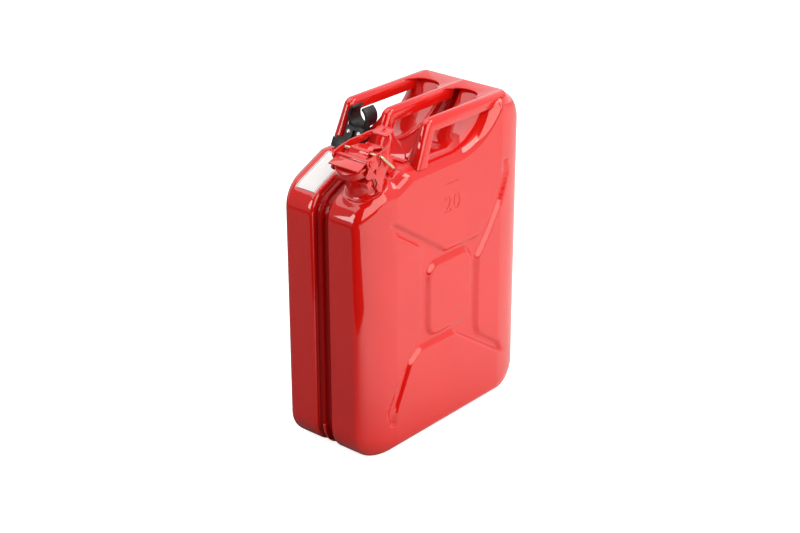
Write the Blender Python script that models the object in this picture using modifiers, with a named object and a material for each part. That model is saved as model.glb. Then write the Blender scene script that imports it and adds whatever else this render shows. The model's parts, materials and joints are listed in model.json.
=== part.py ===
"""Pressed sheet steel fuel can with a three bar carrying handle, a cam lever closure and a spout clip.

Metres, +Z up. The origin is the middle of the base. The neck is at -X, the right half is at -Y.
"""

from math import atan, atan2, cos, hypot, pi, radians, sin, sqrt, tan

import bmesh
import bpy
from mathutils import Matrix, Vector

MM = 0.001

# Clearance between pieces that touch on the real can
FIT = 0.35 * MM

# Tank: the outline seen from the side
TANK_LENGTH = 345 * MM
TANK_WIDTH = 165 * MM
TANK_WALL = 1.0 * MM
HUMP_HEIGHT = 464.1 * MM
FRONT_TOP_DROP = 92.8 * MM
SLOPE_RISE = 0.4683
SLOPE_LENGTH = 82.8 * MM
HUMP_LENGTH = 70.5 * MM
VALLEY_SLANT = 37 * MM
BASE_RADIUS = 40 * MM
REAR_TOP_RADIUS = 56 * MM
HUMP_FRONT_RADIUS = 14 * MM
VALLEY_RADIUS = 95 * MM
CREST_RADIUS = 30 * MM
FRONT_TOP_RADIUS = 42 * MM
CORNER_STEPS = 6

FRONT_X = -TANK_LENGTH / 2
REAR_X = TANK_LENGTH / 2
FRONT_TOP_HEIGHT = HUMP_HEIGHT - FRONT_TOP_DROP
CREST_X = FRONT_X + SLOPE_LENGTH
HUMP_FRONT_X = REAR_X - HUMP_LENGTH
VALLEY_X = HUMP_FRONT_X - VALLEY_SLANT

# Tank: the flat panel on each side, and the rounding that leads to it
PANEL_END_INSET = 62.1 * MM
PANEL_BOTTOM = 16 * MM
PANEL_TOP_INSET = 15.1 * MM
PANEL_STEP_DROP = 4 * MM
PANEL_VALLEY_SHIFT = 10.5 * MM
PANEL_VALLEY_DROP = 15 * MM
PANEL_CREST_SHIFT = 12.8 * MM
PANEL_FRONT_TOP_RISE = 8 * MM
PANEL_CORNER_RADIUS = 6 * MM
PANEL_VALLEY_RADIUS = 111 * MM
FLAT_HALF_WIDTH = 55 * MM
ROUNDING_STEPS = 6
PRESS_ARC_STEPS = 2
TURN_STEPS = 32

PANEL_HALF_LENGTH = TANK_LENGTH / 2 - PANEL_END_INSET
PANEL_TOP = HUMP_HEIGHT - PANEL_TOP_INSET
PANEL_VALLEY_X = VALLEY_X + PANEL_VALLEY_SHIFT
PANEL_CREST_X = CREST_X + PANEL_CREST_SHIFT

# Seam channel between the two halves
CHANNEL_DEPTH = 8 * MM
CHANNEL_HALF_WIDTH = 11 * MM
CHANNEL_EDGE = 7.5 * MM
SEAM_LIP = 1.2 * MM
SEAM_GAP = 0.3 * MM
SEAM_INSET = 2.6 * MM
WELD_PROUD = 2.0 * MM
WELD_WIDTH = 4.2 * MM

# Pressed pattern on each panel, about its own middle
PATTERN_X = 2 * MM
PATTERN_DROP = 164.3 * MM
PATTERN_BOTTOM = 27 * MM
PATTERN_INSET = 31.5 * MM
PRESS_DEPTH = 4.3 * MM
PRESS_RUN = 5.2 * MM
ISLAND_HALF_LENGTH = 43.5 * MM
ISLAND_HALF_HEIGHT = 51 * MM
ISLAND_RADIUS = 16 * MM
PRESS_CORNER_RADIUS = 7 * MM

PATTERN_Z = FRONT_TOP_HEIGHT - PATTERN_DROP
PATTERN_REACH = TANK_LENGTH / 2 - PATTERN_INSET
PATTERN_RISE = PATTERN_Z - PATTERN_BOTTOM

# Half of its edge, as shares of its reach and rise; the other half is the same turned round
PRESS_HALF_OUTLINE = [
    (-1, 0.8667),
    (-0.8028, 0.7678),
    (-0.0589, 0.3778),
    (0.4262, 0.3711),
    (0.5709, 0.4444),
    (0.8014, 0.8189),
    (0.8241, 1),
    (0.9291, 0.9778),
    (1, 0.7889),
    (0.8014, 0.5611),
    (0.6241, 0.3444),
    (0.4433, 0.1683),
    (0.4397, -0.4161),
    (0.4794, -0.4833),
    (0.7872, -0.6444),
    (1, -0.7556),
]

# Neck: its place on the slope and its own sizes
NECK_SETBACK = 43 * MM
NECK_Y = -43.8 * MM
NECK_BORE = 20.5 * MM
NECK_TUBE = 22.5 * MM
NECK_LIP = 24.4 * MM
NECK_FLANGE = 29 * MM
NECK_SHEET = 1.5 * MM
NECK_FILLET = 5 * MM
NECK_HEIGHT = 43.4 * MM
PAD_RADIUS = 30.5 * MM
PAD_FOOT = 37 * MM
PAD_DROP = 9 * MM
PAD_PROUD = 0.6 * MM

NECK_X = FRONT_X + NECK_SETBACK

# Handle frame: three hollow bars on two slanting legs each, pressed from one sheet
HANDLE_RISE = 1.9 * MM
HANDLE_SHEET = 1.5 * MM
BAR_WIDTH = 16 * MM
BAR_DEPTH = 17 * MM
BAR_RADIUS = 7 * MM
BAR_SPACING = 67.8 * MM
BEND_RADIUS = 14 * MM
LEG_LEAN = radians(24.2)
LEG_SETBACK = 23.7 * MM
LEG_FOOT_SINK = 5.1 * MM
LEG_TOP_DEPTH = 13 * MM
LEG_FOOT_DEPTH = 23 * MM
LEG_SPLAY = 3 * MM
LEG_BELOW_FOOT = 8 * MM
PLATE_RECESS = 4.5 * MM
FOOT_FLANGE = 9 * MM
REAR_PLATE_LENGTH = 25.5 * MM
ARCH_OVERLAP = 1 * MM
REAR_ARCH_INSET = 29.5 * MM
REAR_ARCH_DEPTH = 22 * MM
SADDLE_RISE = 30.5 * MM
SADDLE_DEPTH = 27.5 * MM
BEND_STEPS = 5
LEG_STEPS = 4

HANDLE_TOP = HUMP_HEIGHT + HANDLE_RISE
REAR_EDGE_X = HUMP_FRONT_X + REAR_PLATE_LENGTH
REAR_ARCH_X = REAR_EDGE_X - REAR_ARCH_INSET
LEG_FOOT_X = CREST_X + LEG_SETBACK

# Closure, in the neck's own frame: along the slope, across, and out along the neck
CAP_RADIUS = 27.2 * MM
CAP_SKIRT = 37.8 * MM
CAP_TOP = 48.8 * MM
CAP_SHEET = 1.5 * MM
GASKET_THICKNESS = 3 * MM
STRAP_SHEET = 2 * MM
STRAP_FRONT = -21.5 * MM
STRAP_FRONT_RISE = 54.5 * MM
STRAP_FLAP_HALF = 25 * MM
STRAP_RIDGE_HALF = 26.5 * MM
STRAP_TONGUE_HALF = 16 * MM
STRAP_REAR_HALF = 13 * MM
HINGE_ALONG = 40 * MM
HINGE_RISE = 35 * MM
HINGE_PIN_RADIUS = 2.2 * MM
HINGE_CURL = 2.2 * MM
EAR_RADIUS = 5.5 * MM
BRACKET_SHEET = 2.5 * MM
BRACKET_HALF_LENGTH = 8 * MM
PIVOT_ALONG = -1 * MM
PIVOT_RISE = 51.8 * MM
PIVOT_RADIUS = 2.3 * MM
PIVOT_HEAD_RADIUS = 4.2 * MM
PIVOT_HEAD = 2 * MM
PIVOT_BOSS = 6.6 * MM
PIN_ALONG = 15.8 * MM
PIN_RISE = 51.1 * MM
PIN_RADIUS = 1.9 * MM
PIN_LEFT_END = 33.5 * MM
PIN_TAIL = (26.9 * MM, -36.4 * MM, 23.6 * MM)
CHEEK_INNER = 28.3 * MM
CHEEK_SHEET = 2.5 * MM
LEVER_SWING = radians(38)
LUG_ALONG = -13 * MM
LUG_RISE = 26 * MM
LUG_LENGTH = 10 * MM
LUG_HEIGHT = 8.5 * MM
TAB_END = 70 * MM
TAB_HALF = 13.2 * MM
TAB_RISE = 46 * MM
TAB_HOLE = 2.6 * MM
TAB_HOLE_BACK = 6.7 * MM
TAB_START = 54 * MM
TAB_CORNER = 6 * MM
TAB_REAR_CORNER = 1 * MM
TAB_SEAT = 5 * MM

# Lever's cheeks, seen from above: where each is folded, and how far in it then runs
CHEEK_REAR = -30 * MM
CHEEK_FOLD = 27 * MM
CHEEK_FOLD_END = 33 * MM
CHEEK_FOLD_IN = 1.4 * MM
ARM_FOLD = 52 * MM
ARM_NARROW = 20.5 * MM
TAB_FOLD = 60 * MM
TAB_FOLD_OUT = 0.8 * MM
ARM_END = 80 * MM
ARM_END_IN = 1.2 * MM
CHEEK_WINDOW = [(-4.6 * MM, 40.6 * MM), (4.6 * MM, 39.6 * MM), (0.6 * MM, 32.4 * MM)]

# How far a trimming block reaches past the sheet that it trims
TRIM_REACH = 40 * MM
TRIM_DROP = 30 * MM
VENT_RADIUS = 4 * MM
VENT_WALL = 1 * MM
VENT_TOP = 33 * MM
VENT_BOTTOM = -46 * MM

# Spout clip, measured on the legs: across, up the leg and forward of it
CLIP_Y = 34.4 * MM
CLIP_STAND = 15 * MM
CLIP_BORE = 13.5 * MM
CLIP_WALL = 3.6 * MM
CLIP_DEPTH = 22 * MM
CLIP_RING_LIFT = 45.6 * MM
CLIP_MOUTH = radians(38)
CLIP_BASE_WIDTH = 31 * MM
CLIP_BASE_FOOT = 10.5 * MM
CLIP_BASE_TOP = 33 * MM
CLIP_RELIEF_HALF = 2.6 * MM
CLIP_RELIEF_DEPTH = 5 * MM
CLIP_HOOK_STAND = 9 * MM
CLIP_HOOK_WIDTH = 23 * MM
CLIP_HOOK_SHIFT = 13.4 * MM
CLIP_HOOK_SHEET = 2.4 * MM
CLIP_HOOK_GAP = 4.6 * MM
CLIP_HOOK_LOW = -0.5 * MM
CLIP_HOOK_HEIGHT = 13 * MM
SCREW_SPACING = 18 * MM
SCREW_RISE = 23.8 * MM
SCREW_RADIUS = 1.9 * MM
SCREW_HEAD_RADIUS = 3.5 * MM
SCREW_HEAD = 2.4 * MM
NUT_HALF = 3.4 * MM
NUT_THICKNESS = 2.8 * MM

RED = (0.62, 0.012, 0.014)
BLACK = (0.012, 0.012, 0.013)
ZINC = (0.62, 0.63, 0.64)
YELLOW_ZINC = (0.72, 0.66, 0.47)
RUBBER = (0.02, 0.02, 0.02)


def unit(x, y):
    """The vector (x, y) at length one."""
    size = hypot(x, y)
    return x / size, y / size


def offset_corners(corners, inset):
    """Moves each side of an outline inward by inset and keeps the centre of every corner arc.

    The corners run anticlockwise, as (x, z, radius, turn), where turn is 1 outward and -1 inward.
    """
    moved = []
    for i, (x, z, radius, turn) in enumerate(corners):
        before = corners[i - 1]
        after = corners[(i + 1) % len(corners)]
        ax, az = unit(x - before[0], z - before[1])
        bx, bz = unit(after[0] - x, after[1] - z)
        share = inset / (1 + ax * bx + az * bz)
        moved.append((x + share * (-az - bz), z + share * (ax + bx), max(radius - turn * inset, 0), turn))
    return moved


def rounded_outline(corners, steps=CORNER_STEPS):
    """The points of an outline, with an arc of steps + 1 points at each corner."""
    points = []
    for i, (x, z, radius, turn) in enumerate(corners):
        before = corners[i - 1]
        after = corners[(i + 1) % len(corners)]
        ax, az = unit(x - before[0], z - before[1])
        bx, bz = unit(after[0] - x, after[1] - z)
        bend = atan2(abs(ax * bz - az * bx), ax * bx + az * bz)
        reach = radius * tan(bend / 2)
        cx = x - ax * reach - az * radius * turn
        cz = z - az * reach + ax * radius * turn
        start = atan2(z - az * reach - cz, x - ax * reach - cx)
        for k in range(steps + 1):
            angle = start + turn * bend * k / steps
            points.append((cx + radius * cos(angle), cz + radius * sin(angle)))
    return points


def turned(corners):
    """Adds to each corner whether the outline turns outward or inward there."""
    found = []
    for i, (x, z, radius) in enumerate(corners):
        before = corners[i - 1]
        after = corners[(i + 1) % len(corners)]
        cross = (x - before[0]) * (after[1] - z) - (z - before[1]) * (after[0] - x)
        found.append((x, z, radius, 1 if cross > 0 else -1))
    return found


def slope_height(x):
    """Height of the sloping front of the top, on which the neck stands."""
    return FRONT_TOP_HEIGHT + SLOPE_RISE * (x + TANK_LENGTH / 2)


CREST_HEIGHT = slope_height(CREST_X)
LEG_FOOT_Z = CREST_HEIGHT - LEG_FOOT_SINK

TANK_CORNERS = turned([
    (-TANK_LENGTH / 2, 0, BASE_RADIUS),
    (TANK_LENGTH / 2, 0, BASE_RADIUS),
    (TANK_LENGTH / 2, HUMP_HEIGHT, REAR_TOP_RADIUS),
    (HUMP_FRONT_X, HUMP_HEIGHT, HUMP_FRONT_RADIUS),
    (VALLEY_X, CREST_HEIGHT, VALLEY_RADIUS),
    (CREST_X, CREST_HEIGHT, CREST_RADIUS),
    (-TANK_LENGTH / 2, FRONT_TOP_HEIGHT, FRONT_TOP_RADIUS),
])

PANEL_CORNERS = turned([
    (-PANEL_HALF_LENGTH, PANEL_BOTTOM, PANEL_CORNER_RADIUS),
    (PANEL_HALF_LENGTH, PANEL_BOTTOM, PANEL_CORNER_RADIUS),
    (PANEL_HALF_LENGTH, PANEL_TOP, 0),
    (PANEL_HALF_LENGTH - PANEL_CORNER_RADIUS / 4, PANEL_TOP - PANEL_STEP_DROP, 0),
    (PANEL_VALLEY_X, CREST_HEIGHT - PANEL_VALLEY_DROP, PANEL_VALLEY_RADIUS),
    (PANEL_CREST_X, CREST_HEIGHT - PANEL_VALLEY_DROP, PANEL_CORNER_RADIUS),
    (-PANEL_HALF_LENGTH, FRONT_TOP_HEIGHT + PANEL_FRONT_TOP_RISE, PANEL_CORNER_RADIUS),
])


def remove_all_objects():
    for obj in list(bpy.data.objects):
        bpy.data.objects.remove(obj, do_unlink=True)


def new_collection(name):
    collection = bpy.data.collections.new(name)
    bpy.context.scene.collection.children.link(collection)
    return collection


def new_material(name, colour, roughness, metallic=0.0, coat=0.0):
    material = bpy.data.materials.new(name)
    material.use_nodes = True
    shader = material.node_tree.nodes["Principled BSDF"]
    shader.inputs["Base Color"].default_value = (*colour, 1)
    shader.inputs["Roughness"].default_value = roughness
    shader.inputs["Metallic"].default_value = metallic
    shader.inputs["Coat Weight"].default_value = coat
    material.diffuse_color = (*colour, 1)
    return material


remove_all_objects()
CAN = new_collection("fuel_can")
CUTTERS = new_collection("cutters")
CUTTERS.hide_render = True


def place(name, data, material=None, parent=None, location=(0, 0, 0), rotation=(0, 0, 0)):
    """Adds one piece of the can."""
    obj = bpy.data.objects.new(name, data)
    CAN.objects.link(obj)
    obj.location = location
    obj.rotation_euler = rotation
    obj.parent = parent
    if material and not data.materials:
        data.materials.append(material)
    return obj


def as_cutter(obj):
    """Makes an object a helper that shapes others and isn't a piece of the can."""
    CAN.objects.unlink(obj)
    CUTTERS.objects.link(obj)
    obj.hide_render = True
    obj.display_type = "WIRE"
    return obj


def boolean(obj, other, operation="DIFFERENCE"):
    modifier = obj.modifiers.new(operation.lower(), "BOOLEAN")
    modifier.operation = operation
    modifier.solver = "EXACT"
    modifier.object = other
    return modifier


def mesh_of(build, name, smooth=40):
    """A mesh that the function build fills, with its faces turned outward."""
    form = bmesh.new()
    build(form)
    bmesh.ops.recalc_face_normals(form, faces=form.faces)
    mesh = bpy.data.meshes.new(name)
    form.to_mesh(mesh)
    form.free()
    mesh.shade_smooth()
    mesh.set_sharp_from_angle(angle=radians(smooth))
    return mesh


def loft(name, rings):
    """A closed solid through rings of points, with a cap at each end."""

    def build(form):
        rows = [[form.verts.new(point) for point in ring] for ring in rings]
        count = len(rows[0])
        for lower, upper in zip(rows, rows[1:]):
            for i in range(count):
                j = (i + 1) % count
                form.faces.new((lower[i], lower[j], upper[j], upper[i]))
        form.faces.new(rows[0])
        form.faces.new(rows[-1])

    return mesh_of(build, name)


def applied(obj):
    """Turns an object's modifiers into its mesh, and removes the helpers that they used."""
    bpy.context.view_layer.update()
    graph = bpy.context.evaluated_depsgraph_get()
    mesh = bpy.data.meshes.new_from_object(obj.evaluated_get(graph))
    old = obj.data
    helpers = [modifier.object for modifier in obj.modifiers if modifier.type == "BOOLEAN"]
    obj.modifiers.clear()
    obj.data = mesh
    bpy.data.meshes.remove(old)
    for helper in helpers:
        bpy.data.objects.remove(helper, do_unlink=True)
    return obj


def outline_ring(inset, y):
    return [Vector((x, y, z)) for x, z in rounded_outline(offset_corners(TANK_CORNERS, inset))]


def rounding_ring(share, inset):
    """One ring of the rounding from a narrow face to the panel, as a quarter ellipse."""
    angle = share * pi / 2
    y = FLAT_HALF_WIDTH + (TANK_WIDTH / 2 - inset - FLAT_HALF_WIDTH) * sin(angle)
    outer = rounded_outline(offset_corners(TANK_CORNERS, inset))
    panel = rounded_outline(PANEL_CORNERS)
    return [
        Vector((px + (ox - px) * cos(angle), y, pz + (oz - pz) * cos(angle)))
        for (ox, oz), (px, pz) in zip(outer, panel)
    ]


def side_rings(inset):
    """The rings of one half tank outside the seam channel, grown inward by inset."""
    rings = [outline_ring(inset, FLAT_HALF_WIDTH)]
    rings += [rounding_ring(k / ROUNDING_STEPS, inset) for k in range(1, ROUNDING_STEPS + 1)]
    return rings


def half_shell_rings(inset):
    """The rings of one half tank: from the middle through the seam channel to the panel."""
    floor = CHANNEL_DEPTH + inset
    wall = CHANNEL_HALF_WIDTH + inset
    rings = [
        outline_ring(floor, wall),
        outline_ring(floor - CHANNEL_DEPTH * 0.25, wall + CHANNEL_EDGE * 0.22),
        outline_ring(inset + CHANNEL_DEPTH * 0.18, wall + CHANNEL_EDGE * 0.42),
        outline_ring(inset + CHANNEL_DEPTH * 0.04, wall + CHANNEL_EDGE * 0.66),
        outline_ring(inset, wall + CHANNEL_EDGE),
    ]
    return rings + side_rings(inset)


def outside_solid(name):
    """One half tank as a block, with the lip along its seam."""
    inner = SEAM_GAP / 2
    rings = [
        outline_ring(SEAM_INSET, inner),
        outline_ring(SEAM_INSET, inner + SEAM_LIP),
        outline_ring(CHANNEL_DEPTH, inner + SEAM_LIP),
    ]
    return place(name, loft(name, rings + half_shell_rings(0)))


def cavity_solid(name):
    """The space inside one half tank, open at the seam."""
    rings = [outline_ring(CHANNEL_DEPTH + TANK_WALL, -TANK_WALL)] + half_shell_rings(TANK_WALL)
    return as_cutter(place(name, loft(name, rings)))


def eased(points, radius):
    """Adds a corner radius to each point, smaller where the sides beside it are short."""
    found = []
    for i, (x, z) in enumerate(points):
        before = points[i - 1]
        after = points[(i + 1) % len(points)]
        ax, az = unit(x - before[0], z - before[1])
        bx, bz = unit(after[0] - x, after[1] - z)
        bend = atan2(abs(ax * bz - az * bx), ax * bx + az * bz)
        side = min(hypot(x - before[0], z - before[1]), hypot(after[0] - x, after[1] - z))
        found.append((x, z, min(radius, 0.45 * side / tan(bend / 2))))
    return found


def press_solid(name, points, radius, depth_shift, hollow):
    """A block with sloping sides: the pressing of the pattern, or of the island inside it.

    The sides run PRESS_RUN over PRESS_DEPTH, inward for the pattern and outward for the island.
    """
    plateau = TANK_WIDTH / 2 - depth_shift
    floor = plateau - PRESS_DEPTH
    beyond = PRESS_DEPTH
    slant = PRESS_RUN / PRESS_DEPTH * (1 if hollow else -1)
    corners = turned([(x, z, 0) for x, z in points])
    rings = []
    for y in (floor, plateau + beyond) if hollow else (floor - beyond, plateau + beyond):
        inset = slant * (plateau - y)
        shifted = offset_corners(corners, inset)
        outline = rounded_outline(turned(eased([(c[0], c[1]) for c in shifted], radius)), PRESS_ARC_STEPS)
        rings.append([Vector((PATTERN_X + x, y, PATTERN_Z + z)) for x, z in outline])
    return place(name, loft(name, rings))


def press_cutter(depth_shift):
    """The pattern pressed into the panel at +Y, as one cutter with the island left out."""
    half = [(x * PATTERN_REACH, z * PATTERN_RISE) for x, z in PRESS_HALF_OUTLINE]
    pattern = half + [(-x, -z) for x, z in half]
    area = sum(x * pattern[i - 1][1] - z * pattern[i - 1][0] for i, (x, z) in enumerate(pattern))
    if area > 0:
        pattern.reverse()
    island = [
        (-ISLAND_HALF_LENGTH, -ISLAND_HALF_HEIGHT),
        (ISLAND_HALF_LENGTH, -ISLAND_HALF_HEIGHT),
        (ISLAND_HALF_LENGTH, ISLAND_HALF_HEIGHT),
        (-ISLAND_HALF_LENGTH, ISLAND_HALF_HEIGHT),
    ]
    cutter = press_solid("press_cutter", pattern, PRESS_CORNER_RADIUS, depth_shift, True)
    middle = press_solid("press_island", island, ISLAND_RADIUS, depth_shift, False)
    boolean(cutter, as_cutter(middle))
    return as_cutter(applied(cutter))


def turn_to_right(obj):
    """Mirrors a half made at +Y to -Y."""
    obj.data.transform(Matrix.Scale(-1, 4, (0, 1, 0)))
    obj.data.flip_normals()
    return obj


def neck_matrix():
    """The neck's own frame: X up the slope, Y across the can, Z out along the neck."""
    return Matrix.Translation((NECK_X, NECK_Y, slope_height(NECK_X))) @ Matrix.Rotation(
        -atan(SLOPE_RISE), 4, "Y"
    )


def neck_pad(name, inset):
    """The boss pressed up round the neck where the edge of the tank falls away."""
    drop = PAD_DROP + TANK_WALL
    rise = PAD_PROUD - inset
    flare = (PAD_FOOT - PAD_RADIUS) / PAD_DROP

    def build(form):
        bmesh.ops.create_cone(
            form,
            cap_ends=True,
            segments=TURN_STEPS,
            radius1=PAD_RADIUS - inset + flare * (rise + drop),
            radius2=PAD_RADIUS - inset,
            depth=rise + drop,
        )
        bmesh.ops.translate(form, verts=form.verts, vec=(0, 0, rise - (rise + drop) / 2))
        form.transform(neck_matrix())
        edge = -(CHANNEL_HALF_WIDTH + CHANNEL_EDGE + inset)
        geometry = form.verts[:] + form.edges[:] + form.faces[:]
        bmesh.ops.bisect_plane(
            form, geom=geometry, plane_co=(0, edge, 0), plane_no=(0, 1, 0), clear_outer=True
        )
        bmesh.ops.holes_fill(form, edges=form.edges)

    return as_cutter(place(name, mesh_of(build, name)))


def neck_hole():
    """The hole in the right half under the neck's bore."""

    def build(form):
        bmesh.ops.create_cone(
            form, cap_ends=True, segments=TURN_STEPS, radius1=NECK_BORE, radius2=NECK_BORE, depth=PAD_DROP * 4
        )
        form.transform(neck_matrix())

    return as_cutter(place("neck_hole", mesh_of(build, "neck_hole")))


def make_shell(name, right):
    """One deep drawn half of the tank."""
    shell = outside_solid(name)
    boolean(shell, press_cutter(0))
    applied(shell)
    cavity = cavity_solid("cavity")
    boolean(cavity, press_cutter(TANK_WALL))
    applied(cavity)
    if right:
        turn_to_right(shell)
        turn_to_right(cavity)
        boolean(shell, neck_pad("neck_pad", 0), "UNION")
        boolean(cavity, neck_pad("neck_pad_inside", TANK_WALL), "UNION")
        applied(cavity)
    boolean(shell, cavity)
    if right:
        boolean(shell, neck_hole())
    return applied(shell)


def make_seam_weld(material):
    """The weld bead that joins the lips of the two halves all round."""
    outer = SEAM_INSET - WELD_PROUD
    inner = SEAM_INSET - FIT
    half = WELD_WIDTH / 2
    section = [(inner, -half * 0.6), (outer + half * 0.55, -half), (outer, -half * 0.45)]
    section += [(inset, -y) for inset, y in reversed(section)]
    rings = [outline_ring(inset, y) for inset, y in section]

    def build(form):
        rows = [[form.verts.new(point) for point in ring] for ring in rings]
        count = len(rows[0])
        for k, lower in enumerate(rows):
            upper = rows[(k + 1) % len(rows)]
            for i in range(count):
                j = (i + 1) % count
                form.faces.new((lower[i], lower[j], upper[j], upper[i]))

    place("seam_weld", mesh_of(build, "seam_weld"), material)


def bar_line(depth, leg_depths=None):
    """Stations along one bar and down its leg, at a depth under the outer face.

    Each is (x, z). The corner between bar and leg is mitred where depth passes the bend's radius.
    """
    lean = Vector((-sin(LEG_LEAN), -cos(LEG_LEAN)))
    inward = Vector((cos(LEG_LEAN), -sin(LEG_LEAN)))
    foot = Vector((LEG_FOOT_X, LEG_FOOT_Z)) + lean * LEG_BELOW_FOOT

    def corner(d):
        base = foot + inward * d
        z = HANDLE_TOP - d
        return Vector((base.x - lean.x / lean.y * (base.y - z), z))

    rear = REAR_EDGE_X - HANDLE_SHEET
    stations = [Vector((rear, HANDLE_TOP - depth)), Vector((REAR_ARCH_X, HANDLE_TOP - depth))]
    tip = corner(depth)
    turn = pi / 2 - LEG_LEAN
    radius = max(BEND_RADIUS - depth, MM)
    reach = radius * tan(turn / 2)
    centre = tip + Vector((reach, -radius))
    for k in range(BEND_STEPS + 1):
        angle = pi / 2 + turn * k / BEND_STEPS
        stations.append(centre + radius * Vector((cos(angle), sin(angle))))
    for k in range(1, LEG_STEPS + 1):
        d = depth
        if leg_depths:
            d = leg_depths[0] + (leg_depths[1] - leg_depths[0]) * k / LEG_STEPS
        start = corner(depth) + lean * reach
        end = foot + inward * d
        stations.append(start.lerp(end, k / LEG_STEPS))
    return stations


def bar_mesh(name, side):
    """One hollow bar with its leg. side is -1, 0 or 1; the outer bars' legs splay and deepen."""
    half = BAR_WIDTH / 2
    sheet = HANDLE_SHEET
    arc = 3
    section = []
    for k in range(arc + 1):
        angle = pi - k / arc * pi / 2
        section.append((-half + BAR_RADIUS + BAR_RADIUS * cos(angle), BAR_RADIUS - BAR_RADIUS * sin(angle)))
    section = [(-half, None)] + section + [(-y, d) for y, d in reversed(section)] + [(half, None)]
    inner = []
    for k in range(arc + 1):
        angle = pi - k / arc * pi / 2
        round_inside = BAR_RADIUS - sheet
        inner.append((
            -half + BAR_RADIUS + round_inside * cos(angle),
            BAR_RADIUS - round_inside * sin(angle),
        ))
    inner = [(-half + sheet, None)] + inner + [(-y, d) for y, d in reversed(inner)] + [(half - sheet, None)]
    columns = []
    for y, depth in section + inner[::-1]:
        outer_flange = depth is None and y * side > 0
        leg = (LEG_TOP_DEPTH, LEG_FOOT_DEPTH) if outer_flange else (LEG_TOP_DEPTH, LEG_TOP_DEPTH)
        if depth is None:
            line = bar_line(BAR_DEPTH, leg)
        else:
            line = bar_line(depth)
        lowest = line[-1].y
        column = []
        for point in line:
            fall = max(0, (HANDLE_TOP - BEND_RADIUS - point.y) / (HANDLE_TOP - BEND_RADIUS - lowest))
            splay = side * LEG_SPLAY * fall if y * side > 0 else 0
            column.append(Vector((point.x, side * BAR_SPACING + y + splay, point.y)))
        columns.append(column)
    rings = [[column[k] for column in columns] for k in range(len(columns[0]))]
    return loft(name, rings)


def front_plate_mesh(name):
    """The plate between the legs, set back from their outer faces."""
    top = bar_line(PLATE_RECESS)
    low = bar_line(PLATE_RECESS + HANDLE_SHEET)
    rings = []
    for k in (len(top) - 1 - LEG_STEPS, len(top) - 1):
        rings.append([
            Vector((top[k].x, -BAR_SPACING, top[k].y)),
            Vector((top[k].x, BAR_SPACING, top[k].y)),
            Vector((low[k].x, BAR_SPACING, low[k].y)),
            Vector((low[k].x, -BAR_SPACING, low[k].y)),
        ])
    return loft(name, rings)


def prism(name, outline, start, end, matrix=None):
    """A closed outline in the XY plane, raised along Z from start to end."""

    def build(form):
        low = [form.verts.new((x, y, start)) for x, y in outline]
        high = [form.verts.new((x, y, end)) for x, y in outline]
        form.faces.new(low)
        form.faces.new(high)
        for i in range(len(outline)):
            j = (i + 1) % len(outline)
            form.faces.new((low[i], low[j], high[j], high[i]))
        if matrix:
            form.transform(matrix)

    return mesh_of(build, name)


def box(name, low, high, matrix=None):
    return prism(name, [(low[0], low[1]), (high[0], low[1]), (high[0], high[1]), (low[0], high[1])],
                 low[2], high[2], matrix)


def grown_tank():
    """The tank's outside without its channel, grown by the fit, which seats the handle frame."""
    half = side_rings(-FIT)
    mirrored = [[Vector((p.x, -p.y, p.z)) for p in ring] for ring in reversed(half)]
    return as_cutter(place("tank_seat", loft("tank_seat", mirrored + half)))


def leg_plane():
    """A frame on the front of the legs: X up the leg, Y across the can, Z forward."""
    across = Vector((0, 1, 0))
    up = Vector((sin(LEG_LEAN), 0, cos(LEG_LEAN)))
    forward = Vector((-cos(LEG_LEAN), 0, sin(LEG_LEAN)))
    matrix = Matrix((up, across, forward)).transposed().to_4x4()
    matrix.translation = Vector((LEG_FOOT_X, 0, LEG_FOOT_Z))
    return matrix


def slot_cutters():
    """The two slots between the bars: a rear arch, and a saddle dipping down the front plate."""
    middle = BAR_SPACING / 2
    half = (BAR_SPACING - BAR_WIDTH) / 2 + ARCH_OVERLAP
    steps = 14
    cutters = []
    for side in (-1, 1):
        rear = []
        saddle = []
        for k in range(steps + 1):
            share = -cos(pi * k / steps)
            y = side * middle + share * half
            rear.append((REAR_ARCH_X - REAR_ARCH_DEPTH * (1 - sqrt(1 - share * share)), y))
            saddle.append((SADDLE_RISE + SADDLE_DEPTH * share * share, y))
        front_x = LEG_FOOT_X + (HANDLE_TOP - LEG_FOOT_Z) * tan(LEG_LEAN) + BEND_RADIUS
        rear += [(front_x, side * middle + half), (front_x, side * middle - half)]
        top = SADDLE_RISE + SADDLE_DEPTH * 2
        saddle += [(top, side * middle + half), (top, side * middle - half)]
        mesh = prism("slot_rear", rear, HANDLE_TOP - BAR_DEPTH, HANDLE_TOP + BAR_DEPTH)
        cutters.append(as_cutter(place("slot_rear", mesh)))
        mesh = prism("slot_front", saddle, -BAR_DEPTH * 2, BAR_DEPTH, leg_plane())
        cutters.append(as_cutter(place("slot_front", mesh)))
    return cutters


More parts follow.
